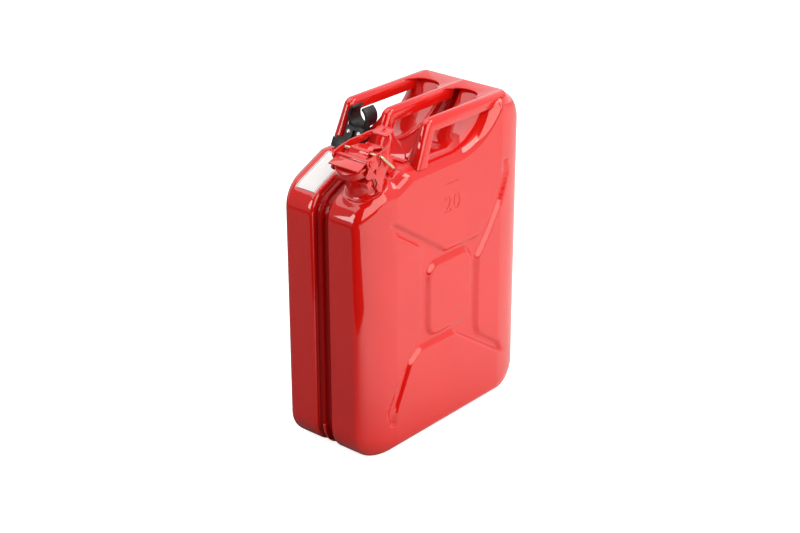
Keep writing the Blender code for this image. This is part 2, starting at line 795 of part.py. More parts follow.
def make_handle_frame(material):
    """Three hollow bars, the rear plate, the recessed front plate and its foot, seated on the tank."""
    frame = place("handle_frame", bar_mesh("handle_frame", 0))
    plate_top = HANDLE_TOP - HANDLE_SHEET / 8
    low = (REAR_ARCH_X - REAR_ARCH_DEPTH - ARCH_OVERLAP, -BAR_SPACING, plate_top - HANDLE_SHEET)
    high = (REAR_EDGE_X, BAR_SPACING, plate_top)
    webs = [
        place("rear_web", box("rear_web", low, high)),
        place("front_web", front_plate_mesh("front_web")),
    ]
    for web in webs:
        for cutter in slot_cutters():
            boolean(web, cutter)
        applied(web)
    foot = CREST_HEIGHT + FIT
    front = LEG_FOOT_X + (foot - LEG_FOOT_Z) * tan(LEG_LEAN) + PLATE_RECESS / cos(LEG_LEAN)
    low = (front - FOOT_FLANGE, -FLAT_HALF_WIDTH, foot)
    high = (front + HANDLE_SHEET / 2, FLAT_HALF_WIDTH, foot + HANDLE_SHEET)
    webs.append(place("foot_flange", box("foot_flange", low, high)))
    for name, side in (("bar_left", 1), ("bar_right", -1)):
        webs.append(place(name, bar_mesh(name, side)))
    for web in webs:
        boolean(frame, as_cutter(web), "UNION")
    applied(frame)
    boolean(frame, grown_tank())
    for shift in (-1, 1):
        boolean(frame, clip_hole(shift))
    return applied(frame).data.materials.append(material)


def clip_hole(shift):
    """A clearance hole for one clip screw, square to the legs."""
    y = CLIP_Y + shift * SCREW_SPACING / 2

    def build(form):
        bmesh.ops.create_cone(
            form, cap_ends=True, segments=16, radius1=SCREW_RADIUS + FIT, radius2=SCREW_RADIUS + FIT,
            depth=CLIP_STAND * 4,
        )
        bmesh.ops.translate(form, verts=form.verts, vec=(SCREW_RISE, y, 0))
        form.transform(leg_plane())

    return as_cutter(place("clip_hole", mesh_of(build, "clip_hole")))


def rotation_profile(name, profile):
    """The mesh of a turned ring: a closed profile of (radius, rise), which runs down its outer side."""

    def build(form):
        points = [form.verts.new((radius, 0, rise)) for radius, rise in profile]
        edges = [form.edges.new((points[i - 1], points[i])) for i in range(len(points))]
        bmesh.ops.spin(
            form, geom=points + edges, cent=(0, 0, 0), axis=(0, 0, 1), angle=2 * pi,
            steps=TURN_STEPS, use_merge=True,
        )

    return mesh_of(build, name)


def screwed(name, profile, material, parent, origin=(0, 0, 0), steps=TURN_STEPS):
    """A turned piece: a profile of (radius, rise), which runs down its outer side, on a Screw modifier.

    A profile that starts on the axis also ends there; any other closes on itself.
    """
    solid = profile[0][0] == 0
    last = len(profile) - 1 if solid else len(profile)
    edges = [(i, (i + 1) % len(profile)) for i in range(last)]
    mesh = bpy.data.meshes.new(name)
    mesh.from_pydata([(radius, 0, rise) for radius, rise in profile], edges, [])
    mesh.materials.append(material)
    obj = place(name, mesh, None, parent, tuple(-c for c in origin))
    screw = obj.modifiers.new("turn", "SCREW")
    screw.steps = steps
    screw.render_steps = steps
    screw.use_merge_vertices = True
    screw.merge_threshold = 0.00001
    screw.use_smooth_shade = True
    return obj


def moved(mesh, origin):
    """Shifts a mesh made in the neck's frame so that its origin lies on its joint."""
    mesh.transform(Matrix.Translation((-origin[0], -origin[1], -origin[2])))
    return mesh


def cylinder(name, radius, low, high, at, segments=24):
    """A round bar across the can, from y low to y high, at (along, rise) in the neck's frame."""

    def build(form):
        bmesh.ops.create_cone(
            form, cap_ends=True, segments=segments, radius1=radius, radius2=radius, depth=high - low
        )
        form.transform(Matrix.Rotation(-pi / 2, 4, "X"))
        bmesh.ops.translate(form, verts=form.verts, vec=(at[0], (low + high) / 2, at[1]))

    return mesh_of(build, name)


def empty(name, parent, location):
    obj = bpy.data.objects.new(name, None)
    CAN.objects.link(obj)
    obj.parent = parent
    obj.location = location
    obj.empty_display_size = 0.02
    return obj


HINGE = (HINGE_ALONG, 0, HINGE_RISE)
PIVOT = (PIVOT_ALONG, 0, PIVOT_RISE)
PIN = (PIN_ALONG, 0, PIN_RISE)


def make_neck(neck, red):
    """The filler neck with its foot flange and rolled lip."""
    base = PAD_PROUD + FIT
    sheet = NECK_SHEET
    outer = [(NECK_FLANGE, base), (NECK_BORE, base)]
    wall = [(NECK_BORE, NECK_HEIGHT - sheet), (NECK_BORE + sheet / 2, NECK_HEIGHT)]
    lip = [
        (NECK_LIP - sheet / 2, NECK_HEIGHT),
        (NECK_LIP, NECK_HEIGHT - sheet / 2),
        (NECK_LIP, NECK_HEIGHT - sheet * 1.5),
        (NECK_TUBE, NECK_HEIGHT - sheet * 2.5),
    ]
    fillet = [
        (
            NECK_TUBE + NECK_FILLET * (1 - cos(angle)),
            base + sheet + NECK_FILLET * (1 - sin(angle)),
        )
        for angle in (radians(a) for a in (0, 30, 60, 90))
    ]
    profile = lip + fillet + [(NECK_FLANGE, base + sheet)] + outer + wall
    screwed("filler_neck", profile, red, neck)

    hole = rotation_profile("lug_relief", [
        (NECK_TUBE + FIT, NECK_HEIGHT), (NECK_TUBE + FIT, 0), (MM, 0), (MM, NECK_HEIGHT),
    ])
    for name, side in (("neck_lug_left", 1), ("neck_lug_right", -1)):
        inner = side * NECK_BORE * 0.7
        outer_end = side * (CHEEK_INNER - FIT)
        low = (LUG_ALONG - LUG_LENGTH / 2, min(inner, outer_end), LUG_RISE - LUG_HEIGHT / 2)
        high = (LUG_ALONG + LUG_LENGTH / 2, max(inner, outer_end), LUG_RISE + LUG_HEIGHT / 2)
        lug = place(name, box(name, low, high), red, neck)
        cutter = place("lug_relief", hole.copy(), None, neck)
        boolean(lug, as_cutter(cutter))
        bevel = lug.modifiers.new("edge", "BEVEL")
        bevel.width = LUG_HEIGHT / 10
        bevel.segments = 2
        bevel.limit_method = "ANGLE"
        bevel.angle_limit = radians(50)

    reach = NECK_BORE - VENT_RADIUS - FIT
    vent = screwed("breather_tube", [
        (VENT_RADIUS, VENT_TOP),
        (VENT_RADIUS, VENT_BOTTOM),
        (VENT_RADIUS - VENT_WALL, VENT_BOTTOM),
        (VENT_RADIUS - VENT_WALL, VENT_TOP),
    ], red, neck, steps=TURN_STEPS // 2)
    vent.location = (reach, 0, 0)


def make_hinge(neck, red, zinc):
    """The bracket on the slope behind the neck, and the pin that the cap turns on."""
    side = STRAP_REAR_HALF + FIT
    outer = side + BRACKET_SHEET
    base = FIT
    ear = []
    for k in range(9):
        angle = pi * k / 8
        ear.append((HINGE_ALONG + EAR_RADIUS * cos(angle), HINGE_RISE + EAR_RADIUS * sin(angle)))
    ear += [
        (HINGE_ALONG - BRACKET_HALF_LENGTH, base + BRACKET_SHEET * 3),
        (HINGE_ALONG - BRACKET_HALF_LENGTH, base),
        (HINGE_ALONG + BRACKET_HALF_LENGTH, base),
        (HINGE_ALONG + BRACKET_HALF_LENGTH, base + BRACKET_SHEET * 3),
    ]
    stand = Matrix.Rotation(pi / 2, 4, "X")
    bracket = place("hinge_bracket", prism("hinge_bracket", ear, side, outer, stand), red, neck)
    other = as_cutter(place("ear", prism("ear", ear, -outer, -side, stand), None, neck))
    boolean(bracket, other, "UNION")
    low = (HINGE_ALONG - BRACKET_HALF_LENGTH, -side - BRACKET_SHEET / 2, base)
    high = (HINGE_ALONG + BRACKET_HALF_LENGTH, side + BRACKET_SHEET / 2, base + BRACKET_SHEET)
    boolean(bracket, as_cutter(place("bracket_foot", box("bracket_foot", low, high), None, neck)), "UNION")
    bore = cylinder("hinge_bore", HINGE_PIN_RADIUS + FIT, -outer * 2, outer * 2, (HINGE_ALONG, HINGE_RISE))
    boolean(bracket, as_cutter(place("hinge_bore", bore, None, neck)))
    applied(bracket)

    head = outer + FIT
    pin = cylinder("hinge_pin", HINGE_PIN_RADIUS, -head - 1 * MM, head + 1 * MM, (HINGE_ALONG, HINGE_RISE))
    place("hinge_pin", pin, zinc, neck)


def make_cap(cap, red, rubber, zinc):
    """The pressed dish, its gasket, and the strap that carries the lever and hinges at the back."""
    sheet = CAP_SHEET
    round_edge = 2.5 * MM
    dish = [(0, CAP_TOP), (CAP_RADIUS - round_edge, CAP_TOP)]
    dish += [
        (CAP_RADIUS - round_edge * (1 - sin(radians(a))), CAP_TOP - round_edge * (1 - cos(radians(a))))
        for a in (30, 60, 90)
    ]
    dish += [
        (CAP_RADIUS, CAP_SKIRT), (CAP_RADIUS - sheet, CAP_SKIRT),
        (CAP_RADIUS - sheet, CAP_TOP - round_edge), (CAP_RADIUS - round_edge, CAP_TOP - sheet),
        (0, CAP_TOP - sheet),
    ]
    screwed("cap_dish", dish, red, cap, HINGE)

    top = CAP_TOP - sheet - FIT
    inner = NECK_BORE
    outer = CAP_RADIUS - sheet - FIT * 2
    screwed("cap_gasket", [
        (outer, top), (outer, top - GASKET_THICKNESS), (inner, top - GASKET_THICKNESS), (inner, top),
    ], rubber, cap, HINGE)

    half = STRAP_SHEET / 2
    ridge = PIVOT_RADIUS + FIT + half
    tongue = PIN_RADIUS + FIT + half
    rest = CAP_TOP + FIT + half
    path = [(STRAP_FRONT, STRAP_FRONT_RISE, STRAP_FLAP_HALF)]
    path.append((PIVOT_ALONG - ridge - half * 3, STRAP_FRONT_RISE - half * 1.5, STRAP_FLAP_HALF))
    for a in (165, 135, 105, 75, 45, 15):
        path.append((
            PIVOT_ALONG + ridge * cos(radians(a)),
            PIVOT_RISE + ridge * sin(radians(a)),
            STRAP_RIDGE_HALF,
        ))
    path.append((PIVOT_ALONG + ridge + half, rest + half, STRAP_TONGUE_HALF))
    path.append((PIVOT_ALONG + ridge + half * 3, rest, STRAP_TONGUE_HALF))
    path.append((PIN_ALONG - tongue - half * 3, rest, STRAP_TONGUE_HALF))
    for a in (150, 120, 90, 60, 30):
        path.append((
            PIN_ALONG + tongue * cos(radians(a)),
            PIN_RISE + tongue * sin(radians(a)),
            STRAP_TONGUE_HALF,
        ))
    path.append((CAP_RADIUS, CAP_TOP + half, STRAP_REAR_HALF))
    curl_top = HINGE_RISE + HINGE_CURL + HINGE_PIN_RADIUS + FIT
    path.append((HINGE_ALONG - half, curl_top - half, STRAP_REAR_HALF))
    rings = []
    for k, (x, z, width) in enumerate(path):
        before = path[max(k - 1, 0)]
        after = path[min(k + 1, len(path) - 1)]
        ax, az = unit(after[0] - before[0], after[1] - before[1])
        rings.append([
            Vector((x - az * half, -width, z + ax * half)),
            Vector((x - az * half, width, z + ax * half)),
            Vector((x + az * half, width, z - ax * half)),
            Vector((x + az * half, -width, z - ax * half)),
        ])
    strap = place("cap_strap", moved(loft("cap_strap", rings), HINGE), red, cap)
    curl = cylinder(
        "curl", HINGE_PIN_RADIUS + FIT + HINGE_CURL, -STRAP_REAR_HALF * 0.995, STRAP_REAR_HALF * 0.995,
        (HINGE_ALONG, HINGE_RISE),
    )
    boolean(strap, as_cutter(place("curl", moved(curl, HINGE), None, cap)), "UNION")
    bore = cylinder(
        "curl_bore", HINGE_PIN_RADIUS + FIT, -STRAP_REAR_HALF * 2, STRAP_REAR_HALF * 2,
        (HINGE_ALONG, HINGE_RISE),
    )
    boolean(strap, as_cutter(place("curl_bore", moved(bore, HINGE), None, cap)))
    applied(strap)

    shank = CHEEK_INNER + CHEEK_SHEET + FIT
    pivot = place("lever_pivot_pin", moved(
        cylinder("lever_pivot_pin", PIVOT_RADIUS, -shank - PIVOT_HEAD / 2, shank + PIVOT_HEAD / 2,
                 (PIVOT_ALONG, PIVOT_RISE)), HINGE), red, cap)
    for side in (-1, 1):
        low, high = sorted((side * shank, side * (shank + PIVOT_HEAD)))
        head = cylinder("head", PIVOT_HEAD_RADIUS, low, high, (PIVOT_ALONG, PIVOT_RISE))
        boolean(pivot, as_cutter(place("head", moved(head, HINGE), None, cap)), "UNION")
    applied(pivot)


def wire(name, points, radius, material, parent, origin):
    """A round wire through points, with filled ends."""
    curve = bpy.data.curves.new(name, "CURVE")
    curve.dimensions = "3D"
    spline = curve.splines.new("POLY")
    spline.points.add(len(points) - 1)
    for point, place_at in zip(spline.points, points):
        point.co = (*(a - b for a, b in zip(place_at, origin)), 1)
    curve.bevel_depth = radius
    curve.bevel_resolution = 2
    curve.use_fill_caps = True
    curve.materials.append(material)
    return place(name, curve, None, parent, (0, 0, 0))


def make_safety_pin(pin_frame, material):
    """The loose pin: straight through both cheeks, with a bent tail outside the right one."""
    corner = Vector((PIN_ALONG, PIN_TAIL[1] + PIN_RADIUS * 0.6, PIN_RISE))
    tail = Vector(PIN_TAIL)
    start = Vector((PIN_ALONG, PIN_LEFT_END, PIN_RISE))
    bend = 4 * MM
    first = corner + Vector((0, bend, 0))
    last = corner + (tail - corner).normalized() * bend
    points = [start, Vector((PIN_ALONG, 0, PIN_RISE))]
    for k in range(6):
        t = k / 5
        points.append(first * (1 - t) ** 2 + corner * 2 * t * (1 - t) + last * t ** 2)
    points.append(tail)
    wire("safety_pin", points, PIN_RADIUS, material, pin_frame, PIN)


def flat_plate(name, outlines, thickness):
    """A flat sheet from closed outlines in the XY plane: the first is its edge, the others are holes."""
    curve = bpy.data.curves.new(name, "CURVE")
    curve.dimensions = "2D"
    curve.fill_mode = "BOTH"
    curve.extrude = thickness / 2
    for outline in outlines:
        spline = curve.splines.new("POLY")
        spline.points.add(len(outline) - 1)
        for point, (x, y) in zip(spline.points, outline):
            point.co = (x, y, 0, 1)
        spline.use_cyclic_u = True
    obj = bpy.data.objects.new(name, curve)
    CAN.objects.link(obj)
    bpy.context.view_layer.update()
    graph = bpy.context.evaluated_depsgraph_get()
    mesh = bpy.data.meshes.new_from_object(obj.evaluated_get(graph))
    bpy.data.objects.remove(obj, do_unlink=True)
    form = bmesh.new()
    form.from_mesh(mesh)
    bmesh.ops.remove_doubles(form, verts=form.verts, dist=0.00001)
    bmesh.ops.recalc_face_normals(form, faces=form.faces)
    form.to_mesh(mesh)
    form.free()
    return mesh


def arc_points(centre, radius, start, end, steps):
    return [
        (centre[0] + radius * cos(start + (end - start) * k / steps),
         centre[1] + radius * sin(start + (end - start) * k / steps))
        for k in range(steps + 1)
    ]


def arc_slot(centre, radius, half, start, end, steps=8):
    """A slot along an arc, with round ends. It runs from start down to end."""
    ends = [(centre[0] + radius * cos(angle), centre[1] + radius * sin(angle)) for angle in (start, end)]
    outline = arc_points(centre, radius + half, start, end, steps)
    outline += arc_points(ends[1], half, end, end - pi, steps // 2)[1:-1]
    outline += arc_points(centre, radius - half, end, start, steps)
    return outline + arc_points(ends[0], half, start + pi, start, steps // 2)[1:-1]


def lever_side_outline():
    """The edge of one side of the lever, laid flat: along the arm, and out from the slope."""
    boss = arc_points((PIVOT_ALONG, PIVOT_RISE), PIVOT_BOSS, radians(200), radians(80), 6)
    return boss + [
        (9.4 * MM, 56.4 * MM), (20.7 * MM, 53.4 * MM), (32 * MM, 50.6 * MM), (48 * MM, 47.6 * MM),
        (TAB_END + 2 * MM, TAB_RISE + 1 * MM), (TAB_END + 2 * MM, TAB_RISE - 4.5 * MM),
        (60 * MM, 40 * MM), (50 * MM, 38.6 * MM), (38 * MM, 39 * MM), (32.5 * MM, 36.5 * MM),
        (29.4 * MM, 30.6 * MM), (11.1 * MM, 18.4 * MM), (2.4 * MM, 11 * MM), (-0.4 * MM, 4.4 * MM),
        (-3.2 * MM, 4.6 * MM), (-6.9 * MM, 11 * MM), (-6.9 * MM, 16.9 * MM), (-2.9 * MM, 19.4 * MM),
        (-2.6 * MM, 27.5 * MM), (-5.5 * MM, 31.5 * MM), (-9.8 * MM, 33.6 * MM), (-14.8 * MM, 36 * MM),
        (-16.2 * MM, 39.4 * MM), (-15.6 * MM, 42.6 * MM), (-10.5 * MM, 45 * MM),
    ]


def bent_along(mesh, path):
    """Bends a flat sheet, which lies in XY and is thick in Z, round upright folds.

    path gives (along, across, developed length) from the first fold on.
    """
    form = bmesh.new()
    form.from_mesh(mesh)
    for x, y, length in path[:-1]:
        geometry = form.verts[:] + form.edges[:] + form.faces[:]
        bmesh.ops.bisect_plane(form, geom=geometry, plane_co=(length, 0, 0), plane_no=(1, 0, 0))
    for vert in form.verts:
        length, rise, off = vert.co
        k = 0
        while k + 2 < len(path) and length > path[k + 1][2] + 1e-6:
            k += 1
        start, end = path[k], path[k + 1]
        ax, ay = unit(end[0] - start[0], end[1] - start[1])
        run = length - start[2]
        x, y = start[0] + ax * run, start[1] + ay * run
        nx, ny = -ay, ax
        for joint in (k, k + 1):
            if 0 < joint < len(path) - 1 and abs(length - path[joint][2]) < 1e-6:
                before, here, after = path[joint - 1], path[joint], path[joint + 1]
                bx, by = unit(here[0] - before[0], here[1] - before[1])
                cx, cy = unit(after[0] - here[0], after[1] - here[1])
                nx, ny = -(by + cy) / (1 + bx * cx + by * cy), (bx + cx) / (1 + bx * cx + by * cy)
        vert.co = (x + nx * off, y + ny * off, rise)
    bmesh.ops.recalc_face_normals(form, faces=form.faces)
    form.to_mesh(mesh)
    form.free()
    return mesh


def make_lever(lever_frame, red):
    """The yoke that locks the cap: two shaped cheeks whose arms meet in the thumb tab."""
    middle = CHEEK_INNER + CHEEK_SHEET / 2
    under_tab = TAB_HALF - CHEEK_SHEET / 2
    folds = [
        (CHEEK_REAR, middle),
        (CHEEK_FOLD, middle),
        (CHEEK_FOLD_END, middle - CHEEK_FOLD_IN),
        (ARM_FOLD, ARM_NARROW),
        (TAB_FOLD, under_tab + TAB_FOLD_OUT),
        (ARM_END, under_tab - ARM_END_IN),
    ]
    path = [(*folds[0], folds[0][0])]
    for before, after in zip(folds, folds[1:]):
        length = path[-1][2] + hypot(after[0] - before[0], after[1] - before[1])
        path.append((*after, length))
    radius = hypot(PIN_ALONG - PIVOT_ALONG, PIN_RISE - PIVOT_RISE)
    at_pin = atan2(PIN_RISE - PIVOT_RISE, PIN_ALONG - PIVOT_ALONG)
    spare = radians(3)
    slot = arc_slot(
        (PIVOT_ALONG, PIVOT_RISE), radius, PIN_RADIUS + FIT, at_pin + spare, at_pin - LEVER_SWING - spare
    )
    hole = arc_points((PIVOT_ALONG, PIVOT_RISE), PIVOT_RADIUS + FIT, 0, 2 * pi, 16)[:-1]
    sides = []
    for side in (1, -1):
        mesh = flat_plate("lever", [lever_side_outline(), hole, slot, CHEEK_WINDOW], CHEEK_SHEET)
        bent_along(mesh, path)
        if side < 0:
            mesh.transform(Matrix.Scale(-1, 4, (0, 1, 0)))
            mesh.flip_normals()
        mesh.shade_smooth()
        mesh.set_sharp_from_angle(angle=radians(30))
        sides.append(moved(mesh, PIVOT))
    lever = place("lever", sides[0], red, lever_frame)
    boolean(lever, as_cutter(place("lever_side", sides[1], None, lever_frame)), "UNION")
    length = TAB_END - TAB_START
    tab = prism("tab", rounded_outline(turned([
        (TAB_END - length, -TAB_HALF, TAB_REAR_CORNER), (TAB_END, -TAB_HALF, TAB_CORNER),
        (TAB_END, TAB_HALF, TAB_CORNER), (TAB_END - length, TAB_HALF, TAB_REAR_CORNER),
    ]), 4), TAB_RISE - CHEEK_SHEET / 2, TAB_RISE + CHEEK_SHEET / 2)
    boolean(lever, as_cutter(place("tab", moved(tab, PIVOT), None, lever_frame)), "UNION")
    trim = box("tab_trim", (TAB_END - TAB_SEAT, -TAB_HALF * 2, TAB_RISE - TRIM_DROP),
               (TAB_END + TRIM_REACH, TAB_HALF * 2, TAB_RISE - CHEEK_SHEET / 2))
    boolean(lever, as_cutter(place("tab_trim", moved(trim, PIVOT), None, lever_frame)))
    trim = box("end_trim", (TAB_END - 0.05 * MM, -TAB_HALF * 2, TAB_RISE - TRIM_DROP),
               (TAB_END + TRIM_REACH, TAB_HALF * 2, TAB_RISE + TRIM_DROP))
    boolean(lever, as_cutter(place("end_trim", moved(trim, PIVOT), None, lever_frame)))

    def drill(form):
        bmesh.ops.create_cone(form, cap_ends=True, segments=20, radius1=TAB_HOLE, radius2=TAB_HOLE,
                              depth=CHEEK_SHEET * 6)
        bmesh.ops.translate(form, verts=form.verts, vec=(TAB_END - TAB_HOLE_BACK, 0, TAB_RISE))

    boolean(lever, as_cutter(place("tab_hole", moved(mesh_of(drill, "tab_hole"), PIVOT), None, lever_frame)))
    applied(lever)


def clip_across(name, outline, low, high):
    """A block for the clip: an outline of (forward, up the leg), from y low to y high."""
    plane = leg_plane()
    turn = Matrix(((0, 1, 0, 0), (0, 0, 1, 0), (1, 0, 0, 0), (0, 0, 0, 1)))
    return as_cutter(place(name, prism(name, outline, low, high, plane @ turn)))


def make_clip(black, zinc):
    """The clip that holds the spout on the front plate: an open ring, its foot and a hook."""
    plane = leg_plane()
    back = PLATE_RECESS - FIT
    face = CLIP_STAND - back
    front = plane @ Vector((CLIP_RING_LIFT, CLIP_Y, face))
    along = Matrix(((0, 0, 1, 0), (1, 0, 0, 0), (0, 1, 0, 0), (0, 0, 0, 1)))
    centre = Matrix.Translation(front) @ along
    rim = arc_points((0, 0), CLIP_BORE + CLIP_WALL, 0, 2 * pi, 36)[:-1]
    clip = place("spout_clip", prism("spout_clip", rim, 0, CLIP_DEPTH, centre), black)

    half = CLIP_BASE_WIDTH / 2
    foot = [
        (-back, CLIP_BASE_FOOT), (face - MM, CLIP_BASE_FOOT),
        (face - MM, CLIP_BASE_TOP), (-back, CLIP_BASE_TOP),
    ]
    foot = clip_across("clip_foot", foot, CLIP_Y - half, CLIP_Y + half)
    for shift in (-1, 1):
        boolean(foot, clip_hole(shift))
    boolean(clip, applied(foot), "UNION")
    bore = arc_points((0, 0), CLIP_BORE, 0, 2 * pi, 36)[:-1]
    bore = prism("clip_bore", bore, -CLIP_DEPTH, CLIP_DEPTH * 2, centre)
    boolean(clip, as_cutter(place("clip_bore", bore)))
    reach = CLIP_BORE * 3
    mouth = [(0, 0), (reach * sin(CLIP_MOUTH), reach), (-reach * sin(CLIP_MOUTH), reach)]
    mouth = prism("clip_mouth", mouth, -CLIP_DEPTH, CLIP_DEPTH * 2, centre)
    boolean(clip, as_cutter(place("clip_mouth", mouth)))
    above_screws = SCREW_RISE + SCREW_HEAD_RADIUS
    relief = [
        (face - CLIP_RELIEF_DEPTH, 0), (CLIP_STAND * 2, 0),
        (CLIP_STAND * 2, above_screws), (face - CLIP_RELIEF_DEPTH, above_screws),
    ]
    boolean(clip, clip_across("clip_relief", relief, CLIP_Y - CLIP_RELIEF_HALF, CLIP_Y + CLIP_RELIEF_HALF))

    tip = face + CLIP_HOOK_STAND
    rear = tip - CLIP_HOOK_SHEET - CLIP_HOOK_GAP
    floor = CLIP_HOOK_LOW + CLIP_HOOK_SHEET * 2
    hook = [
        (face - CLIP_HOOK_SHEET * 2, CLIP_BASE_FOOT),
        (face, CLIP_HOOK_LOW + CLIP_HOOK_SHEET * 1.6),
        (tip, CLIP_HOOK_LOW),
        (tip, CLIP_HOOK_LOW + CLIP_HOOK_HEIGHT),
        (tip - CLIP_HOOK_SHEET, CLIP_HOOK_LOW + CLIP_HOOK_HEIGHT),
        (tip - CLIP_HOOK_SHEET, floor),
        (rear, floor),
        (rear, CLIP_HOOK_LOW + CLIP_HOOK_HEIGHT + CLIP_HOOK_SHEET),
        (face - CLIP_HOOK_SHEET * 2, CLIP_HOOK_LOW + CLIP_HOOK_HEIGHT + CLIP_HOOK_SHEET),
    ]
    hook_y = CLIP_Y + CLIP_HOOK_SHIFT
    half = CLIP_HOOK_WIDTH / 2
    boolean(clip, clip_across("clip_hook", hook, hook_y - half, hook_y + half), "UNION")
    applied(clip)

    for name, shift in (("clip_screw_left", 1), ("clip_screw_right", -1)):
        y = CLIP_Y + shift * SCREW_SPACING / 2
        front_face = face - MM
        end = -PLATE_RECESS - HANDLE_SHEET - NUT_THICKNESS - 2 * MM
        profile = [
            (0, front_face + SCREW_HEAD), (SCREW_HEAD_RADIUS * 0.6, front_face + SCREW_HEAD * 0.9),
            (SCREW_HEAD_RADIUS, front_face + SCREW_HEAD * 0.45), (SCREW_HEAD_RADIUS, front_face + FIT),
            (SCREW_RADIUS, front_face + FIT), (SCREW_RADIUS, end), (0, end),
        ]
        screw = screwed(name, profile, zinc, None, steps=TURN_STEPS // 2)
        screw.matrix_world = plane @ Matrix.Translation((SCREW_RISE, y, 0))
        nut_name = name.replace("screw", "nut")

        def hexagon(form):
            top = -PLATE_RECESS - HANDLE_SHEET - FIT
            bmesh.ops.create_cone(form, cap_ends=True, segments=6, radius1=NUT_HALF, radius2=NUT_HALF,
                                  depth=NUT_THICKNESS)
            bmesh.ops.translate(form, verts=form.verts, vec=(SCREW_RISE, y, top - NUT_THICKNESS / 2))
            form.transform(plane)

        nut = place(nut_name, mesh_of(hexagon, nut_name), zinc)
        boolean(nut, clip_hole(shift))
        applied(nut)


def main():
    red = new_material("red_enamel", RED, 0.22, coat=0.6)
    black = new_material("black_plastic", BLACK, 0.5)
    zinc = new_material("zinc_plate", ZINC, 0.3, metallic=1.0)
    yellow = new_material("yellow_zinc", YELLOW_ZINC, 0.35, metallic=1.0)
    rubber = new_material("rubber", RUBBER, 0.8)
    for name, right in (("shell_right", True), ("shell_left", False)):
        make_shell(name, right).data.materials.append(red)
    make_seam_weld(red)
    make_handle_frame(red)
    make_clip(black, zinc)

    neck = empty("neck_frame", None, (0, 0, 0))
    neck.matrix_world = neck_matrix()
    cap = empty("cap_hinge_axis", neck, HINGE)
    lever_frame = empty("lever_axis", cap, tuple(a - b for a, b in zip(PIVOT, HINGE)))
    pin_frame = empty("pin_axis", cap, tuple(a - b for a, b in zip(PIN, HINGE)))
    make_neck(neck, red)
    make_hinge(neck, red, zinc)
    make_cap(cap, red, rubber, zinc)
    make_lever(lever_frame, red)
    make_safety_pin(pin_frame, yellow)


main()
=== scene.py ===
"""Looks of the pressed steel fuel can in a plain white studio.

The two halves of the tank, the seam weld, the paper on the slope and the web of the spout clip
are made here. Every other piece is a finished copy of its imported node.
Metres, +Z up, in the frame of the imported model.
"""

import json
from math import atan, atan2, cos, hypot, pi, radians, sin, tan

import bmesh
import bpy
import numpy as np
from mathutils import Matrix, Vector

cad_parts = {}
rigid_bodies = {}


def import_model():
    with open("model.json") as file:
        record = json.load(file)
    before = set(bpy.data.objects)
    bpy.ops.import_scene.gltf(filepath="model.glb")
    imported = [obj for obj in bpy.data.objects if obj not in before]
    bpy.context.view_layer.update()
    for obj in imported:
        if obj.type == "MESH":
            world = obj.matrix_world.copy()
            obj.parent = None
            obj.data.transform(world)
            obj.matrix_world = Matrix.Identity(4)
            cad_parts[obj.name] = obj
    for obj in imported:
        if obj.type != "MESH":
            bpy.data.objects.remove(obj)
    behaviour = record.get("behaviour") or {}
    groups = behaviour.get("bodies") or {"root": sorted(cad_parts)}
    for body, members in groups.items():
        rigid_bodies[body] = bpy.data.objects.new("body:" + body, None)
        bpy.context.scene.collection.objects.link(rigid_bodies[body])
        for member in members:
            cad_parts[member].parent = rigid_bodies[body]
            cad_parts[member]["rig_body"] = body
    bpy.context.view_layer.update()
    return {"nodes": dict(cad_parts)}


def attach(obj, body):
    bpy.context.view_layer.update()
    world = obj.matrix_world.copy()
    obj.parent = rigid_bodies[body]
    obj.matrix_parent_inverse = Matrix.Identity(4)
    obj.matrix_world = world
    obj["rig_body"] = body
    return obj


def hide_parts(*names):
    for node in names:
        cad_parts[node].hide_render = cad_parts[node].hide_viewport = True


MM = 0.001

# Added where a length divides, and the shortest side that counts as one
TINY = 1e-9
SHORTEST_SIDE = 0.001 * MM

# Tank outline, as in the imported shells
TANK_LENGTH = 345 * MM
TANK_WIDTH = 165 * MM
TANK_WALL = 1.0 * MM
TANK_SIDE_Y = TANK_WIDTH / 2
HUMP_HEIGHT = 464.1 * MM
FRONT_TOP_HEIGHT = 371.3 * MM
SLOPE_RISE = 0.4683
CREST_X = -89.7 * MM
VALLEY_X = 65 * MM
HUMP_FRONT_X = 102 * MM
BASE_RADIUS = 40 * MM
REAR_TOP_RADIUS = 56 * MM
HUMP_FRONT_RADIUS = 14 * MM
VALLEY_RADIUS = 95 * MM
CREST_RADIUS = 30 * MM
FRONT_TOP_RADIUS = 42 * MM

# Flat panel of each side
PANEL_HALF_LENGTH = 110.4 * MM
PANEL_BOTTOM = 16 * MM
PANEL_TOP = 449 * MM
PANEL_STEP_DROP = 4 * MM
PANEL_VALLEY_X = 75.5 * MM
PANEL_VALLEY_DROP = 15 * MM
PANEL_CREST_X = -76.9 * MM
PANEL_FRONT_TOP_RISE = 8 * MM
PANEL_CORNER_RADIUS = 6 * MM
PANEL_VALLEY_RADIUS = 111 * MM
FLAT_HALF_WIDTH = 55 * MM

# Seam channel and lips
CHANNEL_DEPTH = 8 * MM
CHANNEL_HALF_WIDTH = 11 * MM
CHANNEL_EDGE = 7.5 * MM
CHANNEL_ROUND = 5.4 * MM
CHANNEL_FILLET = 1.5 * MM
SEAM_LIP = 1.2 * MM
SEAM_GAP = 0.3 * MM
SEAM_INSET = 2.6 * MM

# Weld bead: its section, the length of one run, how deep the runs ripple it, the steps round the
# section, and how high up the section the ripple starts
WELD_PROUD = 1.9 * MM
WELD_HALF_WIDTH = 1.9 * MM
WELD_PITCH = 4.2 * MM
WELD_RIPPLE = 0.3 * MM
WELD_STEPS = 12
WELD_RIPPLE_FROM = 0.2

